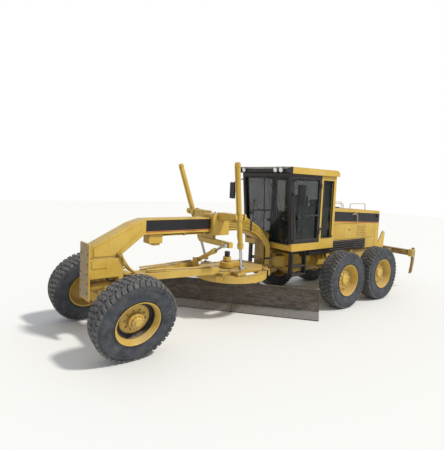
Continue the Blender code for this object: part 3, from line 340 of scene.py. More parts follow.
def weave():
    n = Nodes("seat_weave")
    wave = n.add("ShaderNodeTexWave", wave_type="BANDS", bands_direction="DIAGONAL")
    wave.inputs["Scale"].default_value = 60.0
    n.join(n.place, wave.inputs["Vector"])
    colour = n.mix(wave.outputs["Fac"], (0.035, 0.035, 0.038), (0.085, 0.083, 0.085))
    n.bump(wave.outputs["Fac"], 0.3, 0.002)
    n.finish(colour, 0.9)
    n.shader.inputs["Sheen Weight"].default_value = 0.3
    return n.material


def lamp_glass():
    n = Nodes("lamp_lens")
    wave = n.add("ShaderNodeTexWave", wave_type="BANDS", bands_direction="Y")
    wave.inputs["Scale"].default_value = 30.0
    n.join(n.place, wave.inputs["Vector"])
    colour = n.mix(wave.outputs["Fac"], (0.62, 0.64, 0.66), (0.82, 0.84, 0.85))
    n.bump(wave.outputs["Fac"], 0.4, 0.003)
    return n.finish(colour, 0.08, 0.6)


YELLOW = paint("yellow_paint_look", GOLD, GOLD_PALE)
BEAM_YELLOW = paint("beam_paint_look", GOLD, GOLD_PALE, stripes=nose_and_post)
CAB_PAINT = paint("cab_paint_look", GOLD, GOLD_PALE, 0.7, cab_black)
ROOF_PAINT = paint("roof_paint_look", GOLD, GOLD_PALE, 0.8, roof_black)
CAKED_YELLOW = paint("caked_paint_look", GOLD, GOLD_PALE, 1.0, caked)
HOOD_YELLOW = paint("hood_paint_look", GOLD, GOLD_PALE, stripes=hood_stripes)
WHEEL_YELLOW = paint("wheel_paint_look", GOLD, GOLD_PALE, dirt=0.75, wear=0.4)
RUBBER = rubber()
TREAD = tread_rubber()
BLACK = black("black_paint_look")
TRIM = black("trim_rubber_look", 0.6)
CHROME = chrome()
BLADE_STEEL = scoured_steel()
STEEL = plain("bare_steel_look", (0.30, 0.28, 0.26), 0.45, 0.8)
IRON = plain("engine_iron_look", (0.07, 0.07, 0.072), 0.6, 0.4)
STACK = plain("heat_dulled_steel_look", (0.055, 0.045, 0.042), 0.6, 0.5, 12.0, 0.6)
PLASTIC = plain("console_plastic_look", (0.030, 0.030, 0.033), 0.55, 0.0, 40.0)
HANDRAIL = plain("rail_paint_look", (0.62, 0.55, 0.36), 0.4)
MIRROR = plain("mirror_glass_look", (0.70, 0.73, 0.76), 0.03, 1.0)
RED_LENS = plain("red_lens_look", (0.45, 0.02, 0.015), 0.2)
GLASS = glass()
WEAVE = weave()
LENS = lamp_glass()
SLOTS = {"yellow_paint": YELLOW, "dark_paint": BLACK, "black_paint": BLACK, "tyre_rubber": RUBBER,
         "rod_chrome": CHROME, "worn_steel": BLADE_STEEL, "engine_iron": IRON, "window_glass": GLASS,
         "seat_fabric": WEAVE, "console_plastic": PLASTIC}
OWN = {"front_frame": BEAM_YELLOW, "cab_body": CAB_PAINT, "cab_roof": ROOF_PAINT, "ripper": CAKED_YELLOW,
       "engine_hood": HOOD_YELLOW, "left_engine_door": HOOD_YELLOW,
       "right_engine_door": HOOD_YELLOW, "exhaust_stack": STACK, "drawbar_ball": STEEL}


def finish_cad_nodes():
    for entry in frame["record"]["subparts"]:
        node = NODES[entry["node"]]
        look = OWN.get(entry["node"], SLOTS[entry["material_slot"]])
        for index in range(len(node.material_slots)):
            node.material_slots[index].material = look


# ---------------------------------------------------------------- building pieces
def walls(rings, sides):
    """The faces between rings of points that follow each other."""
    return [(k * sides + i, k * sides + (i + 1) % sides, (k + 1) * sides + (i + 1) % sides, (k + 1) * sides + i)
            for k in range(rings - 1) for i in range(sides)]


class Piece:
    """Gathers simple solids into one visible object."""

    def __init__(self):
        self.verts, self.faces = [], []

    def add(self, verts, faces, matrix=None):
        start = len(self.verts)
        self.verts += [matrix @ Vector(v) if matrix else Vector(v) for v in verts]
        self.faces += [tuple(start + i for i in face) for face in faces]

    def box(self, low, high, matrix=None):
        (a, b, c), (d, e, f) = low, high
        verts = [(a, b, c), (d, b, c), (d, e, c), (a, e, c), (a, b, f), (d, b, f), (d, e, f), (a, e, f)]
        faces = [(3, 2, 1, 0), (4, 5, 6, 7), (0, 1, 5, 4), (1, 2, 6, 5), (2, 3, 7, 6), (3, 0, 4, 7)]
        self.add(verts, faces, matrix)

    def lathe(self, profile, matrix, sides=32):
        """A closed (radius, height) outline, listed anticlockwise, turned about local Z."""
        n = len(profile)
        verts = [(r * math.cos(2 * math.pi * i / sides), r * math.sin(2 * math.pi * i / sides), h)
                 for i in range(sides) for r, h in profile]
        faces = [(i * n + k, (i + 1) % sides * n + k, (i + 1) % sides * n + (k + 1) % n, i * n + (k + 1) % n)
                 for i in range(sides) for k in range(n)]
        self.add(verts, faces, matrix)

    def disc(self, radius, low, high, matrix, sides=24, chamfer=0.004):
        """A solid round plate with a chamfered rim."""
        inner = radius - chamfer
        rings = [(inner, low), (radius, low + chamfer), (radius, high - chamfer), (inner, high)]
        verts = [(r * math.cos(2 * math.pi * i / sides), r * math.sin(2 * math.pi * i / sides), h)
                 for r, h in rings for i in range(sides)]
        faces = [tuple(reversed(range(sides))), tuple(range(3 * sides, 4 * sides))]
        faces += walls(4, sides)
        self.add(verts, faces, matrix)

    def bolt(self, spot, axis, radius=0.014, height=0.012):
        self.disc(radius, 0.0, height, facing(spot, axis), 6, 0.002)

    def tube(self, path, radius, sides=12):
        """A round bar or hose that follows a list of points."""
        path = [Vector(p) for p in path]
        rings = []
        along = (path[1] - path[0]).normalized()
        side = along.orthogonal().normalized()
        for i, spot in enumerate(path):
            before = (spot - path[i - 1]).normalized() if i else along
            after = (path[i + 1] - spot).normalized() if i + 1 < len(path) else before
            along = (before + after).normalized()
            side = (side - along * side.dot(along)).normalized()
            up = along.cross(side)
            rings.append([spot + side * (radius * math.cos(a)) + up * (radius * math.sin(a))
                          for a in (2 * math.pi * k / sides for k in range(sides))])
        verts = [v for ring in rings for v in ring]
        last = (len(rings) - 1) * sides
        faces = [tuple(reversed(range(sides))), tuple(range(last, last + sides))]
        faces += walls(len(rings), sides)
        self.add(verts, faces)

    def prism(self, outline, low, high, axis="Y"):
        """A flat outline in the two other axes, extruded along one axis."""
        place = {"X": lambda a, b, t: (t, a, b),
                 "Y": lambda a, b, t: (a, t, b),
                 "Z": lambda a, b, t: (a, b, t)}[axis]
        area = sum(p[0] * q[1] - q[0] * p[1] for p, q in zip(outline, outline[1:] + outline[:1]))
        points = list(outline) if area > 0 else list(reversed(outline))
        if axis == "Y":
            low, high = high, low
        n = len(points)
        verts = [place(a, b, low) for a, b in points] + [place(a, b, high) for a, b in points]
        faces = [tuple(reversed(range(n))), tuple(range(n, 2 * n))]
        faces += [(i, (i + 1) % n, n + (i + 1) % n, n + i) for i in range(n)]
        self.add(verts, faces)

    def build(self, name, body, material, slot, bevel=0.0, replaces=None):
        mesh = bpy.data.meshes.new(name)
        mesh.from_pydata([tuple(v) for v in self.verts], [], self.faces)
        mesh.update()
        mesh.shade_smooth()
        mesh.set_sharp_from_angle(angle=math.radians(35))
        obj = bpy.data.objects.new(name, mesh)
        bpy.context.scene.collection.objects.link(obj)
        obj.data.materials.append(material)
        if bevel:
            modifier = obj.modifiers.new("edges", "BEVEL")
            modifier.width = bevel
            modifier.segments = 2
            modifier.limit_method = "ANGLE"
            modifier.angle_limit = math.radians(40)
            modifier.use_clamp_overlap = True
        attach(obj, body)
        if replaces:
            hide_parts(*replaces)
        return obj


def facing(spot, axis):
    """A matrix whose Z looks along axis, at a spot."""
    turn = Vector((0, 0, 1)).rotation_difference(Vector(axis)).to_matrix().to_4x4()
    return Matrix.Translation(Vector(spot)) @ turn


def curve(points, steps=8):
    """A smooth path through points, by Catmull-Rom."""
    points = [Vector(p) for p in points]
    ends = [points[0] * 2 - points[1]] + points + [points[-1] * 2 - points[-2]]
    path = []
    for a, b, c, d in zip(ends, ends[1:], ends[2:], ends[3:]):
        for i in range(steps):
            t = i / steps
            path.append(0.5 * (2 * b + (c - a) * t + (2 * a - 5 * b + 4 * c - d) * t ** 2
                               + (3 * b - a - 3 * c + d) * t ** 3))
    return path + [points[-1]]


# ---------------------------------------------------------------- wheels
def tyre_profile(half):
    """The tyre's outline (radius, height) from inner bead round the tread base and back."""
    r = TYRE_R
    side = [(RIM_R + 0.004, 0.80), (0.56 * r, 0.86), (0.62 * r, 0.93), (0.72 * r, 0.985), (0.82 * r, 0.985),
            (0.90 * r, 0.955), (0.945 * r, 0.87), (0.968 * r, 0.62), (0.976 * r, 0.25)]
    outer = [(radius, half * h) for radius, h in side]
    return [(radius, -h) for radius, h in outer] + [(radius, h) for radius, h in reversed(outer)]


def tread_block(piece, matrix, angle, h0, h1, width, skew, half):
    """One block of tread standing on the tyre between two heights, its top curved with the crown."""
    def crown(h):
        return TYRE_R * (1.0 - 0.085 * max(0.0, abs(h) / half - 0.55) ** 1.4)

    stations = [h0, (h0 + h1) / 2, h1]
    verts = []
    for h in stations:
        centre = angle + skew * h
        top, base = crown(h), crown(h) * 0.955
        for radius, wide in ((base, 1.12), (top, 1.0)):
            for s in (-1, 1):
                a = centre + s * wide * width / 2 / TYRE_R
                verts.append((radius * math.cos(a), radius * math.sin(a), h))
    faces = [(0, 1, 3, 2), (10, 11, 9, 8)]
    for k in (0, 4):
        faces += [(k + 2, k + 3, k + 7, k + 6), (k + 1, k, k + 4, k + 5), (k + 3, k + 1, k + 5, k + 7),
                  (k, k + 2, k + 6, k + 4)]
    if h0 > h1:
        faces = [tuple(reversed(face)) for face in faces]
    piece.add(verts, faces, matrix)


def wheel(name, front):
    joint = JOINTS[name + "_spin"]
    side = 1 if joint["pos_m"][1] > 0 else -1
    hub = facing(joint["pos_m"], Vector(joint["axis"]) * side)
    body = name + "_wheel"
    half = TYRE_HALF
    tyre = Piece()
    tyre.lathe(tyre_profile(half), hub, 96)
    for s in (-1, 1):
        for radius in (0.60 * TYRE_R, 0.86 * TYRE_R):
            h = s * half * (0.925 if radius < 0.7 * TYRE_R else 0.975)
            ring = [(radius + 0.010 * math.cos(a), h + 0.006 * math.sin(a))
                    for a in (2 * math.pi * k / 8 for k in range(8))]
            tyre.lathe(ring, hub, 96)
    tyre.build(name + "_tyre_look", body, RUBBER, "tyre_rubber", replaces=[name + "_tyre"])
    tread = Piece()
    step = 2 * math.pi / TREAD_PITCHES
    for k in range(TREAD_PITCHES):
        angle = k * step
        for s, shift in ((1, 0.0), (-1, 0.5)):
            a = angle + shift * step
            tread_block(tread, hub, a, s * 0.128, s * 0.178, 0.066, s * 0.30, half)
            tread_block(tread, hub, a + 0.5 * step, s * 0.078, s * 0.122, 0.070, s * 0.9, half)
            tread_block(tread, hub, a + 0.1 * step, s * 0.030, s * 0.072, 0.068, s * -0.7, half)
        tread_block(tread, hub, angle + 0.25 * step, -0.024, 0.024, 0.066, 0.6, half)
    tread.build(name + "_tread", body, TREAD, "tyre_rubber", 0.004)
    rim = Piece()
    lip = RIM_R
    depth = 0.015 if front else 0.035
    gutter = depth - 0.008 if front else depth
    outline = [(0.062, -0.04), (0.088, -0.04), (0.088, depth - 0.012), (0.30, depth - 0.012),
               (lip - 0.022, -0.06),
               (lip - 0.022, -0.150), (lip - 0.002, -0.160), (lip + 0.010, -0.172), (lip + 0.004, -0.166),
               (lip - 0.001, -0.10), (lip - 0.001, 0.10), (lip + 0.004, 0.166), (lip + 0.014, 0.176),
               (lip + 0.008, 0.181), (lip - 0.008, 0.172), (lip - 0.012, 0.155), (lip - 0.024, 0.150),
               (lip - 0.030, 0.120), (lip - 0.046, 0.090), (lip - 0.052, gutter + 0.01),
               (lip - 0.060, gutter),
               (0.250, gutter), (0.240, depth + 0.008), (0.185, depth + 0.022), (0.062, depth + 0.022)]
    rim.lathe(outline, hub, 64)
    reach = 0.095 if front else 0.02
    rim.disc(0.128 if front else 0.155, depth, depth + reach, hub, 48, 0.012)
    rim.disc(0.085 if front else 0.11, depth, depth + reach + 0.035, hub, 40, 0.016)
    if front:
        rim.disc(0.05, depth, depth + reach + 0.052, hub, 32, 0.008)
    rim.build(name + "_rim_look", body, WHEEL_YELLOW, "yellow_paint", replaces=[name + "_rim"])
    bolts = Piece()
    out = hub.to_3x3() @ Vector((0, 0, 1))
    for k in range(10):
        a = 2 * math.pi * k / 10
        inner = 0.105 if front else 0.135
        for radius, size, low in ((0.165, 0.014, depth + 0.02), (inner, 0.008, depth + reach)):
            spot = hub @ Vector((radius * math.cos(a), radius * math.sin(a), low))
            bolts.bolt(spot, out, size, size * 1.3)
            if size > 0.01:
                bolts.disc(size * 0.55, 0.0, size * 2.2, facing(spot, out), 10, 0.001)
    bolts.build(name + "_wheel_nuts", body, WHEEL_YELLOW, "yellow_paint")
    # Black pieces laid on the rims as painted shade: on the front rims a ring in the deep gutter between disc
    # and flange, on the rear rims small dots between the nuts.
    shade = Piece()
    if front:
        ring = [(0.247, gutter + 0.001), (lip - 0.054, gutter + 0.001), (lip - 0.046, 0.086),
                (lip - 0.048, 0.088), (lip - 0.058, gutter + 0.006), (0.247, gutter + 0.006)]
        shade.lathe(ring, hub, 64)
    else:
        for k in range(10):
            a = 2 * math.pi * (k + 0.5) / 10
            spot = hub @ Vector((0.222 * math.cos(a), 0.222 * math.sin(a), depth + 0.008))
            shade.disc(0.017, 0.0, 0.007, facing(spot, out), 16, 0.001)
    shade.build(name + "_rim_gutter", body, BLACK, "black_paint")


def wheels():
    for name in ("front_left", "front_right"):
        wheel(name, True)
    for name in ("mid_left", "mid_right", "rear_left", "rear_right"):
        wheel(name, False)


# ---------------------------------------------------------------- front end
def front_end():
    plates = Piece()
    for side in (-1, 1):
        y = side * 0.152
        low, high = sorted((y, y + side * 0.006))
        outline = [(0.30, 1.45), (-0.05, 1.45), (-0.50, 1.82), (-0.56, 1.99), (-0.40, 1.92), (0.30, 1.60)]
        plates.prism([(AXLE_X + x, z) for x, z in outline], low, high)
    plates.build("gooseneck_doublers", "front_frame", YELLOW, "yellow_paint", 0.002)
    box = Piece()
    for side in (-1, 1):
        low, high = sorted((side * 0.1905, side * 0.198))
        outline = [(0.34, 1.265), (0.10, 1.265), (0.13, 1.385), (0.34, 1.385)]
        box.prism([(AXLE_X + x, z) for x, z in outline], low, high)
    box.build("nose_side_recess", "front_frame", YELLOW, "yellow_paint", 0.002)
    bolts = Piece()
    for y in (-0.15, 0.15):
        for z in (0.86, 1.02, 1.18, 1.34, 1.50):
            bolts.bolt(at(0.40, y, z), (1, 0, 0), 0.016, 0.010)
    bolts.build("nose_plate_bolts", "front_frame", CAKED_YELLOW, "yellow_paint")
    pipes = Piece()
    for k, side in enumerate((1, 1, -1)):
        y = side * (0.185 + 0.042 * k % 0.084)
        off = 0.035 * (k % 2)
        pipes.tube(curve([at(-0.10 - off, y, 1.50), at(-0.155 - off, y, 1.38), at(-0.27 - off, y, 1.22),
                          at(-0.40 - off, y, 1.13)], 10), 0.017)
    pipes.build("nose_pipes", "front_frame", YELLOW, "yellow_paint")
    lines = Piece()
    for side in (-1, 1):
        for k in range(2):
            lift = 0.085 + 0.036 * k
            route = [(-0.66, 0.115 + 0.02 * k, 1.02), (-1.00, 0.178, 1.015), (-1.60, 0.295, 1.005),
                     (-1.92, 0.345, 1.00)]
            lines.tube(curve([at(x, side * y, z + lift) for x, y, z in route], 8), 0.015)
    lines.build("drawbar_pipes", "drawbar", YELLOW, "yellow_paint")
    rails = Piece()
    for k in range(3):
        y = -0.08 + 0.08 * k
        rails.tube([at(-0.75, y, 1.742), at(-2.00, y, 1.742)], 0.014)
    for x in (-0.95, -1.45, -1.90):
        rails.box(tuple(at(x - 0.025, -0.115, 1.722)), tuple(at(x + 0.025, 0.115, 1.779)))
    rails.build("beam_underside_lines", "front_frame", YELLOW, "yellow_paint", 0.003)
    valve = Piece()
    valve.box(tuple(at(-0.98, -0.11, 1.60)), tuple(at(-0.70, 0.11, 1.776)))
    valve.box(tuple(at(-0.94, -0.085, 1.56)), tuple(at(-0.80, 0.085, 1.61)))
    valve.build("beam_valve_box", "front_frame", YELLOW, "yellow_paint", 0.012)


def hitch_hoses():
    """Steel lines that bend down from the beam to the articulation hitch, in two rows."""
    lines = Piece()
    for k in range(6):
        y = 0.168 + 0.010 * (k % 2)
        drop = 0.036 * k
        rear = -3.545 - 0.021 * (5 - k)
        route = [at(-2.45, y, 1.995 - drop), at(-2.90, y, 1.985 - drop), at(-3.28, y + 0.02, 1.825 - drop),
                 at(rear + 0.04, y + 0.03, 1.46 - drop / 3), at(rear, y + 0.02, 1.20), at(rear, y, 0.98)]
        lines.tube(curve(route, 8), 0.0155, 10)
    lines.build("hitch_lines", "front_frame", YELLOW, "yellow_paint")
    clamps = Piece()
    for x, z in ((-2.72, 2.005), (-3.06, 1.960)):
        clamps.box(tuple(at(x - 0.02, 0.145, z - 0.21)), tuple(at(x + 0.02, 0.205, z + 0.01)))
    clamps.box(tuple(at(-3.675, 0.145, 1.10)), tuple(at(-3.53, 0.212, 1.14)))
    clamps.build("hitch_line_clamps", "front_frame", BLACK, "black_paint", 0.004)


# ---------------------------------------------------------------- lift cylinders and saddle
def lift_gear():
    for name in ("left", "right"):
        pivot = Vector(JOINTS[name + "_lift_swing"]["pos_m"])
        along = Vector(JOINTS[name + "_lift_stroke"]["axis"])
        collars = Piece()
        for reach, radius, tall in ((-1.02, 0.056, 0.05), (-0.04, 0.068, 0.10), (0.575, 0.062, 0.045)):
            collars.disc(radius, reach, reach + tall, facing(pivot, along), 32, 0.006)
        collars.build(name + "_lift_collars", name + "_lift_cylinder", YELLOW, "yellow_paint")
        hose = Piece()
        out = Vector((0.062, 0, 0))
        hose.tube([pivot + along * s + out for s in (-0.98, -0.5, 0.0, 0.40)], 0.011)
        hose.tube(curve([pivot + along * 0.40 + out, pivot + along * 0.46 + out * 0.9,
                         pivot + along * 0.47 + out * 0.5], 4), 0.011)
        hose.build(name + "_lift_pipe", name + "_lift_cylinder", YELLOW, "yellow_paint")
        yoke = Piece()
        for end in (-1, 1):
            spot = pivot + Vector((end * 0.126, 0, 0))
            yoke.disc(0.055, 0.0, 0.014, facing(spot, (end, 0, 0)), 24, 0.004)
            for k in range(4):
                a = math.pi / 4 + k * math.pi / 2
                place = spot + Vector((end * 0.014, 0.038 * math.cos(a), 0.038 * math.sin(a)))
                yoke.bolt(place, (end, 0, 0), 0.007, 0.006)
        yoke.build(name + "_yoke_caps", "front_frame", YELLOW, "yellow_paint")
    bolts = Piece()
    for x in (-2.38, -2.22, -2.06):
        for y in (-0.19, 0.19):
            bolts.bolt(at(x, y, 2.12), (0, 0, 1), 0.018, 0.016)
    bolts.build("saddle_bolts", "front_frame", STEEL, "worn_steel")


# ---------------------------------------------------------------- drawbar, circle and blade
def blade_matrix():
    """The blade's own axes: forward, along the blade, up, at the circle's centre."""
    centre = Vector(JOINTS["circle_turn"]["pos_m"])
    along = Vector(JOINTS["side_shift"]["axis"])
    turn = Matrix((along.cross(Vector((0, 0, 1))), along, Vector((0, 0, 1)))).transposed().to_4x4()
    return Matrix.Translation((centre.x, centre.y, 0)) @ turn


def circle_and_blade():
    centre = Vector(JOINTS["circle_turn"]["pos_m"])
    teeth = Piece()
    for k in range(CIRCLE_TEETH):
        a = 2 * math.pi * k / CIRCLE_TEETH
        turn = Matrix.Translation(centre) @ Matrix.Rotation(a, 4, "Z")
        teeth.prism([(0.570, -0.010), (0.602, -0.018), (0.602, 0.018), (0.570, 0.010)], -0.118, -0.05, "Z")
        start = len(teeth.verts) - 8
        for i in range(start, len(teeth.verts)):
            teeth.verts[i] = turn @ teeth.verts[i]
    teeth.build("circle_teeth", "blade_circle", STEEL, "worn_steel")
    guides = Piece()
    for a in (35, 145, 215, 325):
        spot = centre + Vector((0.80 * math.cos(math.radians(a)), 0.80 * math.sin(math.radians(a)), 0))
        matrix = Matrix.Translation(spot) @ Matrix.Rotation(math.radians(a), 4, "Z")
        guides.box((-0.12, -0.07, 0.004), (0.035, 0.07, 0.050), matrix)
        guides.box((-0.008, -0.07, -0.10), (0.035, 0.07, 0.05), matrix)
        for y in (-0.045, 0.045):
            guides.bolt(matrix @ Vector((-0.05, y, 0.050)), (0, 0, 1), 0.014, 0.012)
    guides.build("circle_guide_shoes", "drawbar", YELLOW, "yellow_paint", 0.004)
    drive = Piece()
    drive.disc(0.15, 0.0705, 0.20, facing(centre + Vector((0.20, 0.10, 0)), (0, 0, 1)), 40, 0.012)
    drive.disc(0.085, 0.20, 0.30, facing(centre + Vector((0.20, 0.10, 0)), (0, 0, 1)), 32, 0.010)
    drive.box(tuple(centre + Vector((-0.10, 0.03, 0.075))), tuple(centre + Vector((0.07, 0.17, 0.19))))
    drive.build("circle_drive_housing", "drawbar", YELLOW, "yellow_paint", 0.006)
    motor = Piece()
    motor.disc(0.055, 0.30, 0.41, facing(centre + Vector((0.20, 0.10, 0)), (0, 0, 1)), 24, 0.008)
    motor.build("circle_drive_motor", "drawbar", BLACK, "black_paint")
    plate = Piece()
    for side in (-1, 1):
        for x in (0.34, 0.16, -0.10):
            plate.bolt(centre + Vector((x, side * 0.36, 0.0705)), (0, 0, 1), 0.016, 0.014)
    plate.build("drawbar_bolts", "drawbar", STEEL, "worn_steel")

    matrix = blade_matrix()
    length, shift = BLADE_L, BLADE_SHIFT
    edge = Piece()
    outline = [(0.012, 0.018), (0.032, 0.020), (-0.020, 0.110), (-0.060, 0.165), (-0.076, 0.160),
               (-0.040, 0.105)]
    n = len(outline)
    for half in (-1, 1):
        s0, s1 = sorted((shift + half * 0.004, shift + half * length / 2))
        verts = [(u, s, z) for s in (s0, s1) for u, z in outline]
        faces = [tuple(range(n)), tuple(reversed(range(n, 2 * n)))]
        faces += [((i + 1) % n, i, n + i, n + (i + 1) % n) for i in range(n)]
        edge.add(verts, faces, matrix)
    edge.build("cutting_edge", "moldboard", STEEL, "worn_steel", 0.002)
    bolts = Piece()
    lean = matrix.to_3x3() @ Vector((0.80, 0, 0.60)).normalized()
    for k in range(18):
        s = shift - length / 2 + 0.10 + k * (length - 0.20) / 17
        bolts.bolt(matrix @ Vector((-0.042, s, 0.140)), lean, 0.013, 0.006)
    bolts.build("cutting_edge_bolts", "moldboard", STEEL, "worn_steel")
    ribs = Piece()
    for s in (-1.55, 1.60):
        u_back = -0.142
        outline = [(u_back - 0.002, 0.16), (u_back - 0.04, 0.24), (u_back - 0.045, 0.42),
                   (u_back - 0.004, 0.52), (u_back + 0.02, 0.34)]
        verts = [(u, s + t, z) for t in (-0.012, 0.012) for u, z in outline]
        m = len(outline)
        faces = [tuple(range(m)), tuple(reversed(range(m, 2 * m)))]
        faces += [((i + 1) % m, i, m + i, m + (i + 1) % m) for i in range(m)]
        ribs.add(verts, faces, matrix)
    ribs.build("moldboard_ribs", "moldboard", YELLOW, "yellow_paint", 0.003)


# ---------------------------------------------------------------- cab
def cab():
    """Trim round the cab's openings, fascia, lamps, mirrors, wiper and grab rails."""
    h = CAB_HALF
    seals = Piece()
    front_low, front_high = (-3.751, 1.475), (-3.588, 2.925)
    edge = h - 0.075
    for y in (-edge, edge):
        seals.tube([at(x, y, z) for x, z in (front_low, front_high)], 0.012, 8)
    for x, z in (front_low, front_high):
        seals.tube([at(x, -edge, z), at(x, edge, z)], 0.012, 8)
    seals.tube([at(-3.674 + 0.004, -0.02, 1.48), at(-3.59, -0.02, 2.92)], 0.010, 8)
    for side in (-1, 1):
        y = side * (h + 0.001)
        loop = [at(-5.10, y, 1.59), at(-4.73, y, 1.59), at(-4.73, y, 2.90), at(-5.10, y, 2.90)]
        for a, b in zip(loop, loop[1:] + loop[:1]):
            seals.tube([a, b], 0.010, 8)
    seals.build("window_seals", "rear_frame", TRIM, "black_paint")

    fascia = Piece()
    x0 = -3.578
    fascia.box(tuple(at(x0 - 0.15, -0.79, 3.035)), tuple(at(x0 - 0.028, 0.79, 3.085)))
    fascia.build("roof_front_visor", "rear_frame", BLACK, "black_paint", 0.006)
    lamps, lenses = Piece(), Piece()
    for y in (-0.66, -0.50, 0.50, 0.66):
        spot = Vector((ROOF_FRONT, y, 3.078))
        lamps.disc(0.062, -0.06, 0.030, facing(spot, (1, 0, -0.15)), 28, 0.006)
        lenses.disc(0.052, 0.020, 0.038, facing(spot, (1, 0, -0.15)), 28, 0.006)
    for y in (-0.42, 0.42):
        spot = at(-7.60, y, 2.08)
        lamps.disc(0.055, -0.01, 0.05, facing(spot, (-1, 0, 0)), 28, 0.008)
        lenses.disc(0.045, 0.045, 0.056, facing(spot, (-1, 0, 0)), 28, 0.006)
    lamps.build("work_lamp_shells", "rear_frame", BLACK, "black_paint")
    lenses.build("work_lamp_lenses", "rear_frame", LENS, "window_glass")

    mirrors, faces = Piece(), Piece()
    for side in (-1, 1):
        base = at(-3.70, side * 0.745, 2.86)
        out = at(-3.56, side * 1.02, 2.72)
        arm = [base, base + Vector((0.05, side * 0.12, 0.0)), out + Vector((0, -side * 0.03, 0.08)), out,
               out - Vector((0, 0, 0.32))]
        mirrors.tube(curve(arm, 6), 0.012, 10)
        mirrors.box(tuple(out + Vector((-0.035, min(0, side * 0.17) - 0.01, -0.34))),
                    tuple(out + Vector((-0.005, max(0, side * 0.17) + 0.01, 0.06))))
        faces.box(tuple(out + Vector((-0.040, min(0, side * 0.17) + 0.002, -0.325))),
                  tuple(out + Vector((-0.036, max(0, side * 0.17) - 0.002, 0.045))))
    mirrors.build("cab_mirrors", "rear_frame", BLACK, "black_paint", 0.004)
    faces.build("mirror_faces", "rear_frame", MIRROR, "rod_chrome")

    wiper = Piece()
    wiper.tube([at(-3.582, 0.10, 2.93), at(-3.618, 0.30, 2.55), at(-3.650, 0.34, 2.28)], 0.007, 8)
    wiper.tube([at(-3.622, 0.28, 2.62), at(-3.675, 0.40, 2.02)], 0.009, 8)
    wiper.build("front_wiper", "rear_frame", BLACK, "black_paint")

    rails = Piece()
    for side, name in ((1, "left"), (-1, "right")):
        bars = Piece()
        y = side * 0.78
        skin = side * CAB_HALF
        grip = [at(-4.02, skin, 2.34), at(-4.02, y, 2.33), at(-4.02, y, 1.75), at(-4.02, skin, 1.74)]
        bars.tube(curve(grip, 5), 0.012, 10)
        bars.box(tuple(at(-3.98, min(side * 0.75, side * 0.775), 2.02)),
                 tuple(at(-3.88, max(side * 0.75, side * 0.775), 2.08)))
        y_low, y_high = sorted((side * 0.7503, side * 0.758))
        bars.box(tuple(at(-4.57, y_low, 2.10)), tuple(at(-3.87, y_high, 2.135)))
        bars.build(name + "_door_handle", name + "_door", BLACK, "black_paint", 0.003)
        grab = [(-3.70, 0.752, 2.55), (-3.70, 0.79, 2.53), (-3.76, 0.79, 1.62), (-3.76, 0.752, 1.60)]
        rails.tube(curve([at(x, side * out, z) for x, out, z in grab], 6), 0.012, 10)
    rails.build("cab_grab_rails", "rear_frame", BLACK, "black_paint")
    vents = Piece()
    for side in (-1, 1):
        vents.disc(0.032, -0.004, 0.006, facing(at(-4.685, side * 0.75, 1.80), (0, side, 0)), 24, 0.002)
        vents.disc(0.026, -0.004, 0.006, facing(at(-5.12, side * 0.75, 1.62), (0, side, 0)), 24, 0.002)
    vents.build("pillar_holes", "rear_frame", TRIM, "black_paint")
    beacon = Piece()
    beacon.box(tuple(at(-4.62, 0.7995, 3.045)), tuple(at(-4.45, 0.8045, 3.075)))
    beacon.build("roof_edge_marker", "rear_frame", HANDRAIL, "dark_paint", 0.001)


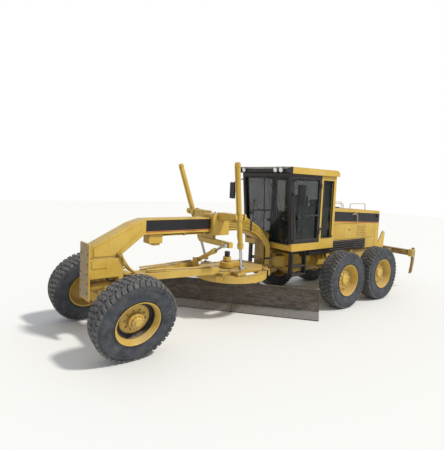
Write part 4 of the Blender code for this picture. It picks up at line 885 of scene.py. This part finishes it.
def seat():
    """A sprung driver's seat: crowned cushion and back with side bolsters, arm rests and a folding base."""
    body = "rear_frame"

    def pad(name, centre, size, tilt, crown):
        mesh = bpy.data.meshes.new(name)
        nx, ny = 16, 16
        verts, faces = [], []
        for layer in (0, 1):
            for j in range(ny + 1):
                for i in range(nx + 1):
                    u, v = 2 * i / nx - 1, 2 * j / ny - 1
                    pull = 1 - 0.05 * (u * u * v * v)
                    bolster = 0.018 * math.exp(-((abs(v) - 0.78) / 0.14) ** 2)
                    rise = crown * (1 - u ** 4) * (1 - v ** 4) + bolster
                    groove = -0.008 * math.exp(-((u % 0.5 - 0.25) / 0.03) ** 2)
                    z = size[2] / 2 + rise + groove if layer else -size[2] / 2
                    verts.append((u * pull * size[0] / 2, v * pull * size[1] / 2, z))
        row = nx + 1
        count = row * (ny + 1)
        for j in range(ny):
            for i in range(nx):
                a = j * row + i
                faces.append((a + row, a + row + 1, a + 1, a))
                faces.append((count + a, count + a + 1, count + a + row + 1, count + a + row))
        rim = [i for i in range(nx)] + [nx + j * row for j in range(ny)]
        rim += [ny * row + nx - i for i in range(nx)] + [(ny - j) * row for j in range(ny)]
        for a, b in zip(rim, rim[1:] + rim[:1]):
            faces.append((a, b, count + b, count + a))
        mesh.from_pydata(verts, [], faces)
        mesh.shade_smooth()
        mesh.transform(Matrix.Translation(centre) @ Matrix.Rotation(tilt, 4, "Y"))
        obj = bpy.data.objects.new(name, mesh)
        bpy.context.scene.collection.objects.link(obj)
        mesh.materials.append(WEAVE)
        edges = obj.modifiers.new("edges", "BEVEL")
        edges.width = 0.02
        edges.segments = 3
        edges.limit_method = "ANGLE"
        edges.angle_limit = math.radians(50)
        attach(obj, body)
        return obj

    cushion = pad("seat_cushion", at(-4.515, 0, 1.865), (0.46, 0.48, 0.10), 0.0, 0.012)
    back = pad("seat_back", at(-4.775, 0, 2.23), (0.62, 0.46, 0.09), math.radians(80), 0.015)
    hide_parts("operator_seat")
    base = Piece()
    base.box(tuple(at(-4.66, -0.20, 1.70)), tuple(at(-4.36, 0.20, 1.80)))
    base.box(tuple(at(-4.62, -0.13, 1.395)), tuple(at(-4.40, 0.13, 1.70)))
    for k in range(4):
        base.box(tuple(at(-4.64, -0.15, 1.44 + 0.06 * k)), tuple(at(-4.38, 0.15, 1.465 + 0.06 * k)))
    for side in (-1, 1):
        low, high = sorted((side * 0.27, side * 0.33))
        base.box(tuple(at(-4.74, low, 2.02)), tuple(at(-4.42, high, 2.07)))
    base.build("seat_base", body, PLASTIC, "console_plastic", 0.010)


# ---------------------------------------------------------------- engine end
def hood():
    h = HOOD_HALF
    panel = Piece()
    for side in (-1, 1):
        low, high = sorted((side * (h - 0.002), side * (h + 0.010)))
        panel.box(tuple(at(-6.95, low, 1.19)), tuple(at(-5.28, high, 1.445)))
        for k in range(4):
            z = 1.215 + 0.058 * k
            low2, high2 = sorted((side * (h + 0.008), side * (h + 0.028)))
            panel.box(tuple(at(-6.93, low2, z)), tuple(at(-5.30, high2, z + 0.030)))
    panel.build("ribbed_side_panels", "rear_frame", BLACK, "black_paint", 0.006)
    for side, name in ((1, "left"), (-1, "right")):
        fins = Piece()
        for k in range(7):
            z = 1.53 + 0.042 * k
            root = side * (h + 0.0005)
            fin = [(side * (h + 0.010), z), (root, z), (root, z + 0.026)]
            fins.prism(fin, AXLE_X - 6.95, AXLE_X - 6.55, "X")
        fins.build(name + "_louvres", name + "_engine_door", HOOD_YELLOW, "yellow_paint")
        latch = Piece()
        latch.disc(0.020, 0.0, 0.008, facing(at(-6.20, side * h, 1.70), (0, side, 0)), 20, 0.002)
        latch.box(tuple(at(-6.215, min(side * h, side * (h + 0.014)), 1.69)),
                  tuple(at(-6.185, max(side * h, side * (h + 0.014)), 1.71)))
        latch.build(name + "_door_latch", name + "_engine_door", BLACK, "black_paint", 0.001)
        grab = Piece()
        y = side * (h + 0.05)
        route = [at(-6.28, side * h, 2.09), at(-6.28, y, 2.10), at(-6.40, y, 2.11), at(-6.46, y, 2.05),
                 at(-6.47, y, 1.90)]
        grab.tube(curve(route, 6), 0.010, 10)
        grab.build(name + "_hood_grab_rail", "rear_frame", HANDRAIL, "dark_paint")
    band_lamps = Piece()
    for side in (-1, 1):
        band_lamps.disc(0.050, 0.0, 0.026, facing(at(-7.50, side * 0.50, 2.035), (0, side, 0)), 28, 0.008)
        band_lamps.disc(0.034, 0.02, 0.034, facing(at(-7.50, side * 0.50, 2.035), (0, side, 0)), 24, 0.004)
    band_lamps.build("hood_side_lamps", "rear_frame", BLACK, "black_paint")
    rails = Piece()
    for side in (-1, 1):
        y = side * 0.38
        for front, rear in ((-5.45, -6.05), (-6.35, -7.05)):
            top = 2.36
            route = [(front, 2.24), (front - 0.01, top - 0.03), (front - 0.06, top), (rear + 0.06, top),
                     (rear + 0.01, top - 0.03), (rear, 2.19)]
            rails.tube(curve([at(x, y, z) for x, z in route], 5), 0.011, 10)
    rails.build("hood_top_rails", "rear_frame", HANDRAIL, "dark_paint")
    seams = Piece()
    for side in (-1, 1):
        low, high = sorted((side * (h - 0.001), side * (h + 0.0012)))
        seams.box(tuple(at(-7.412, low, 1.19)), tuple(at(-7.404, high, 2.17)))
    seams.build("hood_seams", "rear_frame", TRIM, "black_paint")
    grille = Piece()
    for k in range(12):
        z = 1.30 + 0.055 * k
        slat = [(AXLE_X - 7.599, z), (AXLE_X - 7.618, z), (AXLE_X - 7.599, z + 0.034)]
        grille.prism(slat, -0.40, 0.40)
    grille.build("rear_grille", "rear_frame", BLACK, "black_paint")
    lights = Piece()
    for side in (-1, 1):
        lights.box(tuple(at(-7.614, side * 0.44 - 0.035, 1.93)), tuple(at(-7.600, side * 0.44 + 0.035, 2.00)))
    lights.build("tail_lamps", "rear_frame", RED_LENS, "dark_paint", 0.003)
    caps = Piece()
    caps.disc(0.05, 0.0, 0.06, facing(at(-5.75, 0.15, 2.235), (0, 0, 1)), 28, 0.008)
    caps.disc(0.09, 0.0, 0.10, facing(at(-5.60, -0.22, 2.24), (0, 0, 1)), 32, 0.02)
    caps.disc(0.12, 0.10, 0.19, facing(at(-5.60, -0.22, 2.24), (0, 0, 1)), 32, 0.03)
    caps.build("hood_caps", "rear_frame", BLACK, "black_paint")
    intake = Piece()
    route = [(-5.40, 2.20), (-5.40, 2.55), (-5.39, 2.78), (-5.345, 2.90), (-5.26, 2.945)]
    intake.tube(curve([at(x, 0.36, z) for x, z in route], 8), 0.078, 24)
    intake.disc(0.094, 0.0, 0.05, facing(at(-5.40, 0.36, 2.245), (0, 0, 1)), 32, 0.01)
    intake.disc(0.086, 0.0, 0.03, facing(at(-5.40, 0.36, 2.66), (0, 0, 1)), 32, 0.006)
    intake.build("air_intake_pipe", "rear_frame", BLACK, "black_paint")


def chassis():
    bolts = Piece()
    for side in (-1, 1):
        for x in (-5.21, -6.68):
            for k in range(10):
                a = 2 * math.pi * k / 10
                spot = at(x + 0.165 * math.cos(a), side * CASE_OUT, 0.655 + 0.165 * math.sin(a))
                bolts.bolt(spot, (0, side, 0), 0.012, 0.010)
        for k in range(5):
            bolts.bolt(at(-5.62 - 0.16 * k, side * CASE_OUT, 0.86), (0, side, 0), 0.014, 0.010)
    bolts.build("tandem_case_bolts", "rear_frame", YELLOW, "yellow_paint")
    treads = Piece()
    for side, name in ((1, "left"), (-1, "right")):
        low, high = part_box(name + "_ladder")
        for z in (low[2] + 0.05, low[2] + 0.24):
            for k in range(8):
                x = low[0] + 0.05 + k * (high[0] - low[0] - 0.10) / 7
                treads.box((x - 0.008, low[1] + 0.012, z - 0.001), (x + 0.008, high[1] - 0.012, z + 0.006))
    treads.build("step_grips", "rear_frame", STEEL, "worn_steel")
    floor = Piece()
    floor.box(tuple(at(-5.16, -0.70, 1.20)), tuple(at(-4.40, 0.70, 1.338)))
    floor.build("cab_mount_tray", "rear_frame", BLACK, "black_paint", 0.010)


def ripper_trim():
    tips = Piece()
    x = AXLE_X - 8.60
    for place in (-1, 1):
        y = place * (1.05 - 0.06)
        tips.box((x - 0.10, y - 0.055, 0.90), (x + 0.10, y + 0.055, 1.10))
        tip = [(x - 0.075, 0.60), (x + 0.045, 0.405), (x + 0.012, 0.475), (x - 0.03, 0.62)]
        tips.prism(tip, y - 0.036, y + 0.036)
    tips.build("ripper_sockets", "ripper", YELLOW, "yellow_paint", 0.008)


# ---------------------------------------------------------------- stage
def stage():
    floor = bpy.data.meshes.new("studio_floor")
    reach = 40.0
    corners = [(-reach, -reach, 0), (reach, -reach, 0), (reach, reach, 0), (-reach, reach, 0)]
    floor.from_pydata(corners, [], [(0, 1, 2, 3)])
    ground = bpy.data.objects.new("studio_floor", floor)
    bpy.context.scene.collection.objects.link(ground)
    n = Nodes("studio_floor_look")
    n.finish((0.80, 0.80, 0.79), 0.9)
    floor.materials.append(n.material)
    world = bpy.data.worlds.new("studio_sky")
    world.use_nodes = True
    world.node_tree.nodes["Background"].inputs["Color"].default_value = (0.93, 0.96, 1.0, 1)
    sky = world.node_tree.nodes["Background"]
    sky.inputs["Strength"].default_value = 0.62
    links, add = world.node_tree.links, world.node_tree.nodes.new
    paper, path, pick = add("ShaderNodeBackground"), add("ShaderNodeLightPath"), add("ShaderNodeMixShader")
    seen = add("ShaderNodeMath")
    seen.operation = "MAXIMUM"
    paper.inputs["Color"].default_value = (1, 1, 1, 1)
    links.new(path.outputs["Is Camera Ray"], seen.inputs[0])
    links.new(path.outputs["Is Transmission Ray"], seen.inputs[1])
    links.new(seen.outputs[0], pick.inputs[0])
    links.new(sky.outputs[0], pick.inputs[1])
    links.new(paper.outputs[0], pick.inputs[2])
    links.new(pick.outputs[0], world.node_tree.nodes["World Output"].inputs["Surface"])
    bpy.context.scene.world = world
    sun = bpy.data.lights.new("key", "SUN")
    sun.energy = 2.6
    sun.angle = math.radians(6)
    sun.color = (1.0, 0.97, 0.90)
    key = bpy.data.objects.new("key", sun)
    key.rotation_euler = Vector((-0.40, 0.70, 1.0)).to_track_quat("Z", "Y").to_euler()
    bpy.context.scene.collection.objects.link(key)


def camera():
    """The photograph's own view of the machine."""
    spot = at(2.569, 6.343, 2.732)
    yaw, pitch, roll, focal = -2.243, -0.063, 0.045, 391.734
    width, height = 444, 450
    look = Vector((math.cos(pitch) * math.cos(yaw), math.cos(pitch) * math.sin(yaw), math.sin(pitch)))
    right = look.cross(Vector((0, 0, 1))).normalized()
    up = right.cross(look)
    across = math.cos(roll) * right + math.sin(roll) * up
    above = -math.sin(roll) * right + math.cos(roll) * up
    data = bpy.data.cameras.new("view")
    data.sensor_width = 36.0
    data.sensor_height = 36.0
    data.sensor_fit = "AUTO"
    data.lens = focal * 36.0 / height
    data.shift_x = (width / 2 - 224.748) / height
    data.shift_y = (208.485 - height / 2) / height
    data.clip_end = 200.0
    obj = bpy.data.objects.new("view", data)
    turn = Matrix((across, above, -look)).transposed().to_4x4()
    obj.matrix_world = Matrix.Translation(spot) @ turn
    bpy.context.scene.collection.objects.link(obj)
    bpy.context.scene.camera = obj


finish_cad_nodes()
wheels()
front_end()
hitch_hoses()
lift_gear()
circle_and_blade()
cab()
seat()
hood()
chassis()
ripper_trim()
stage()
camera()
bpy.context.scene.view_settings.view_transform = "Standard"
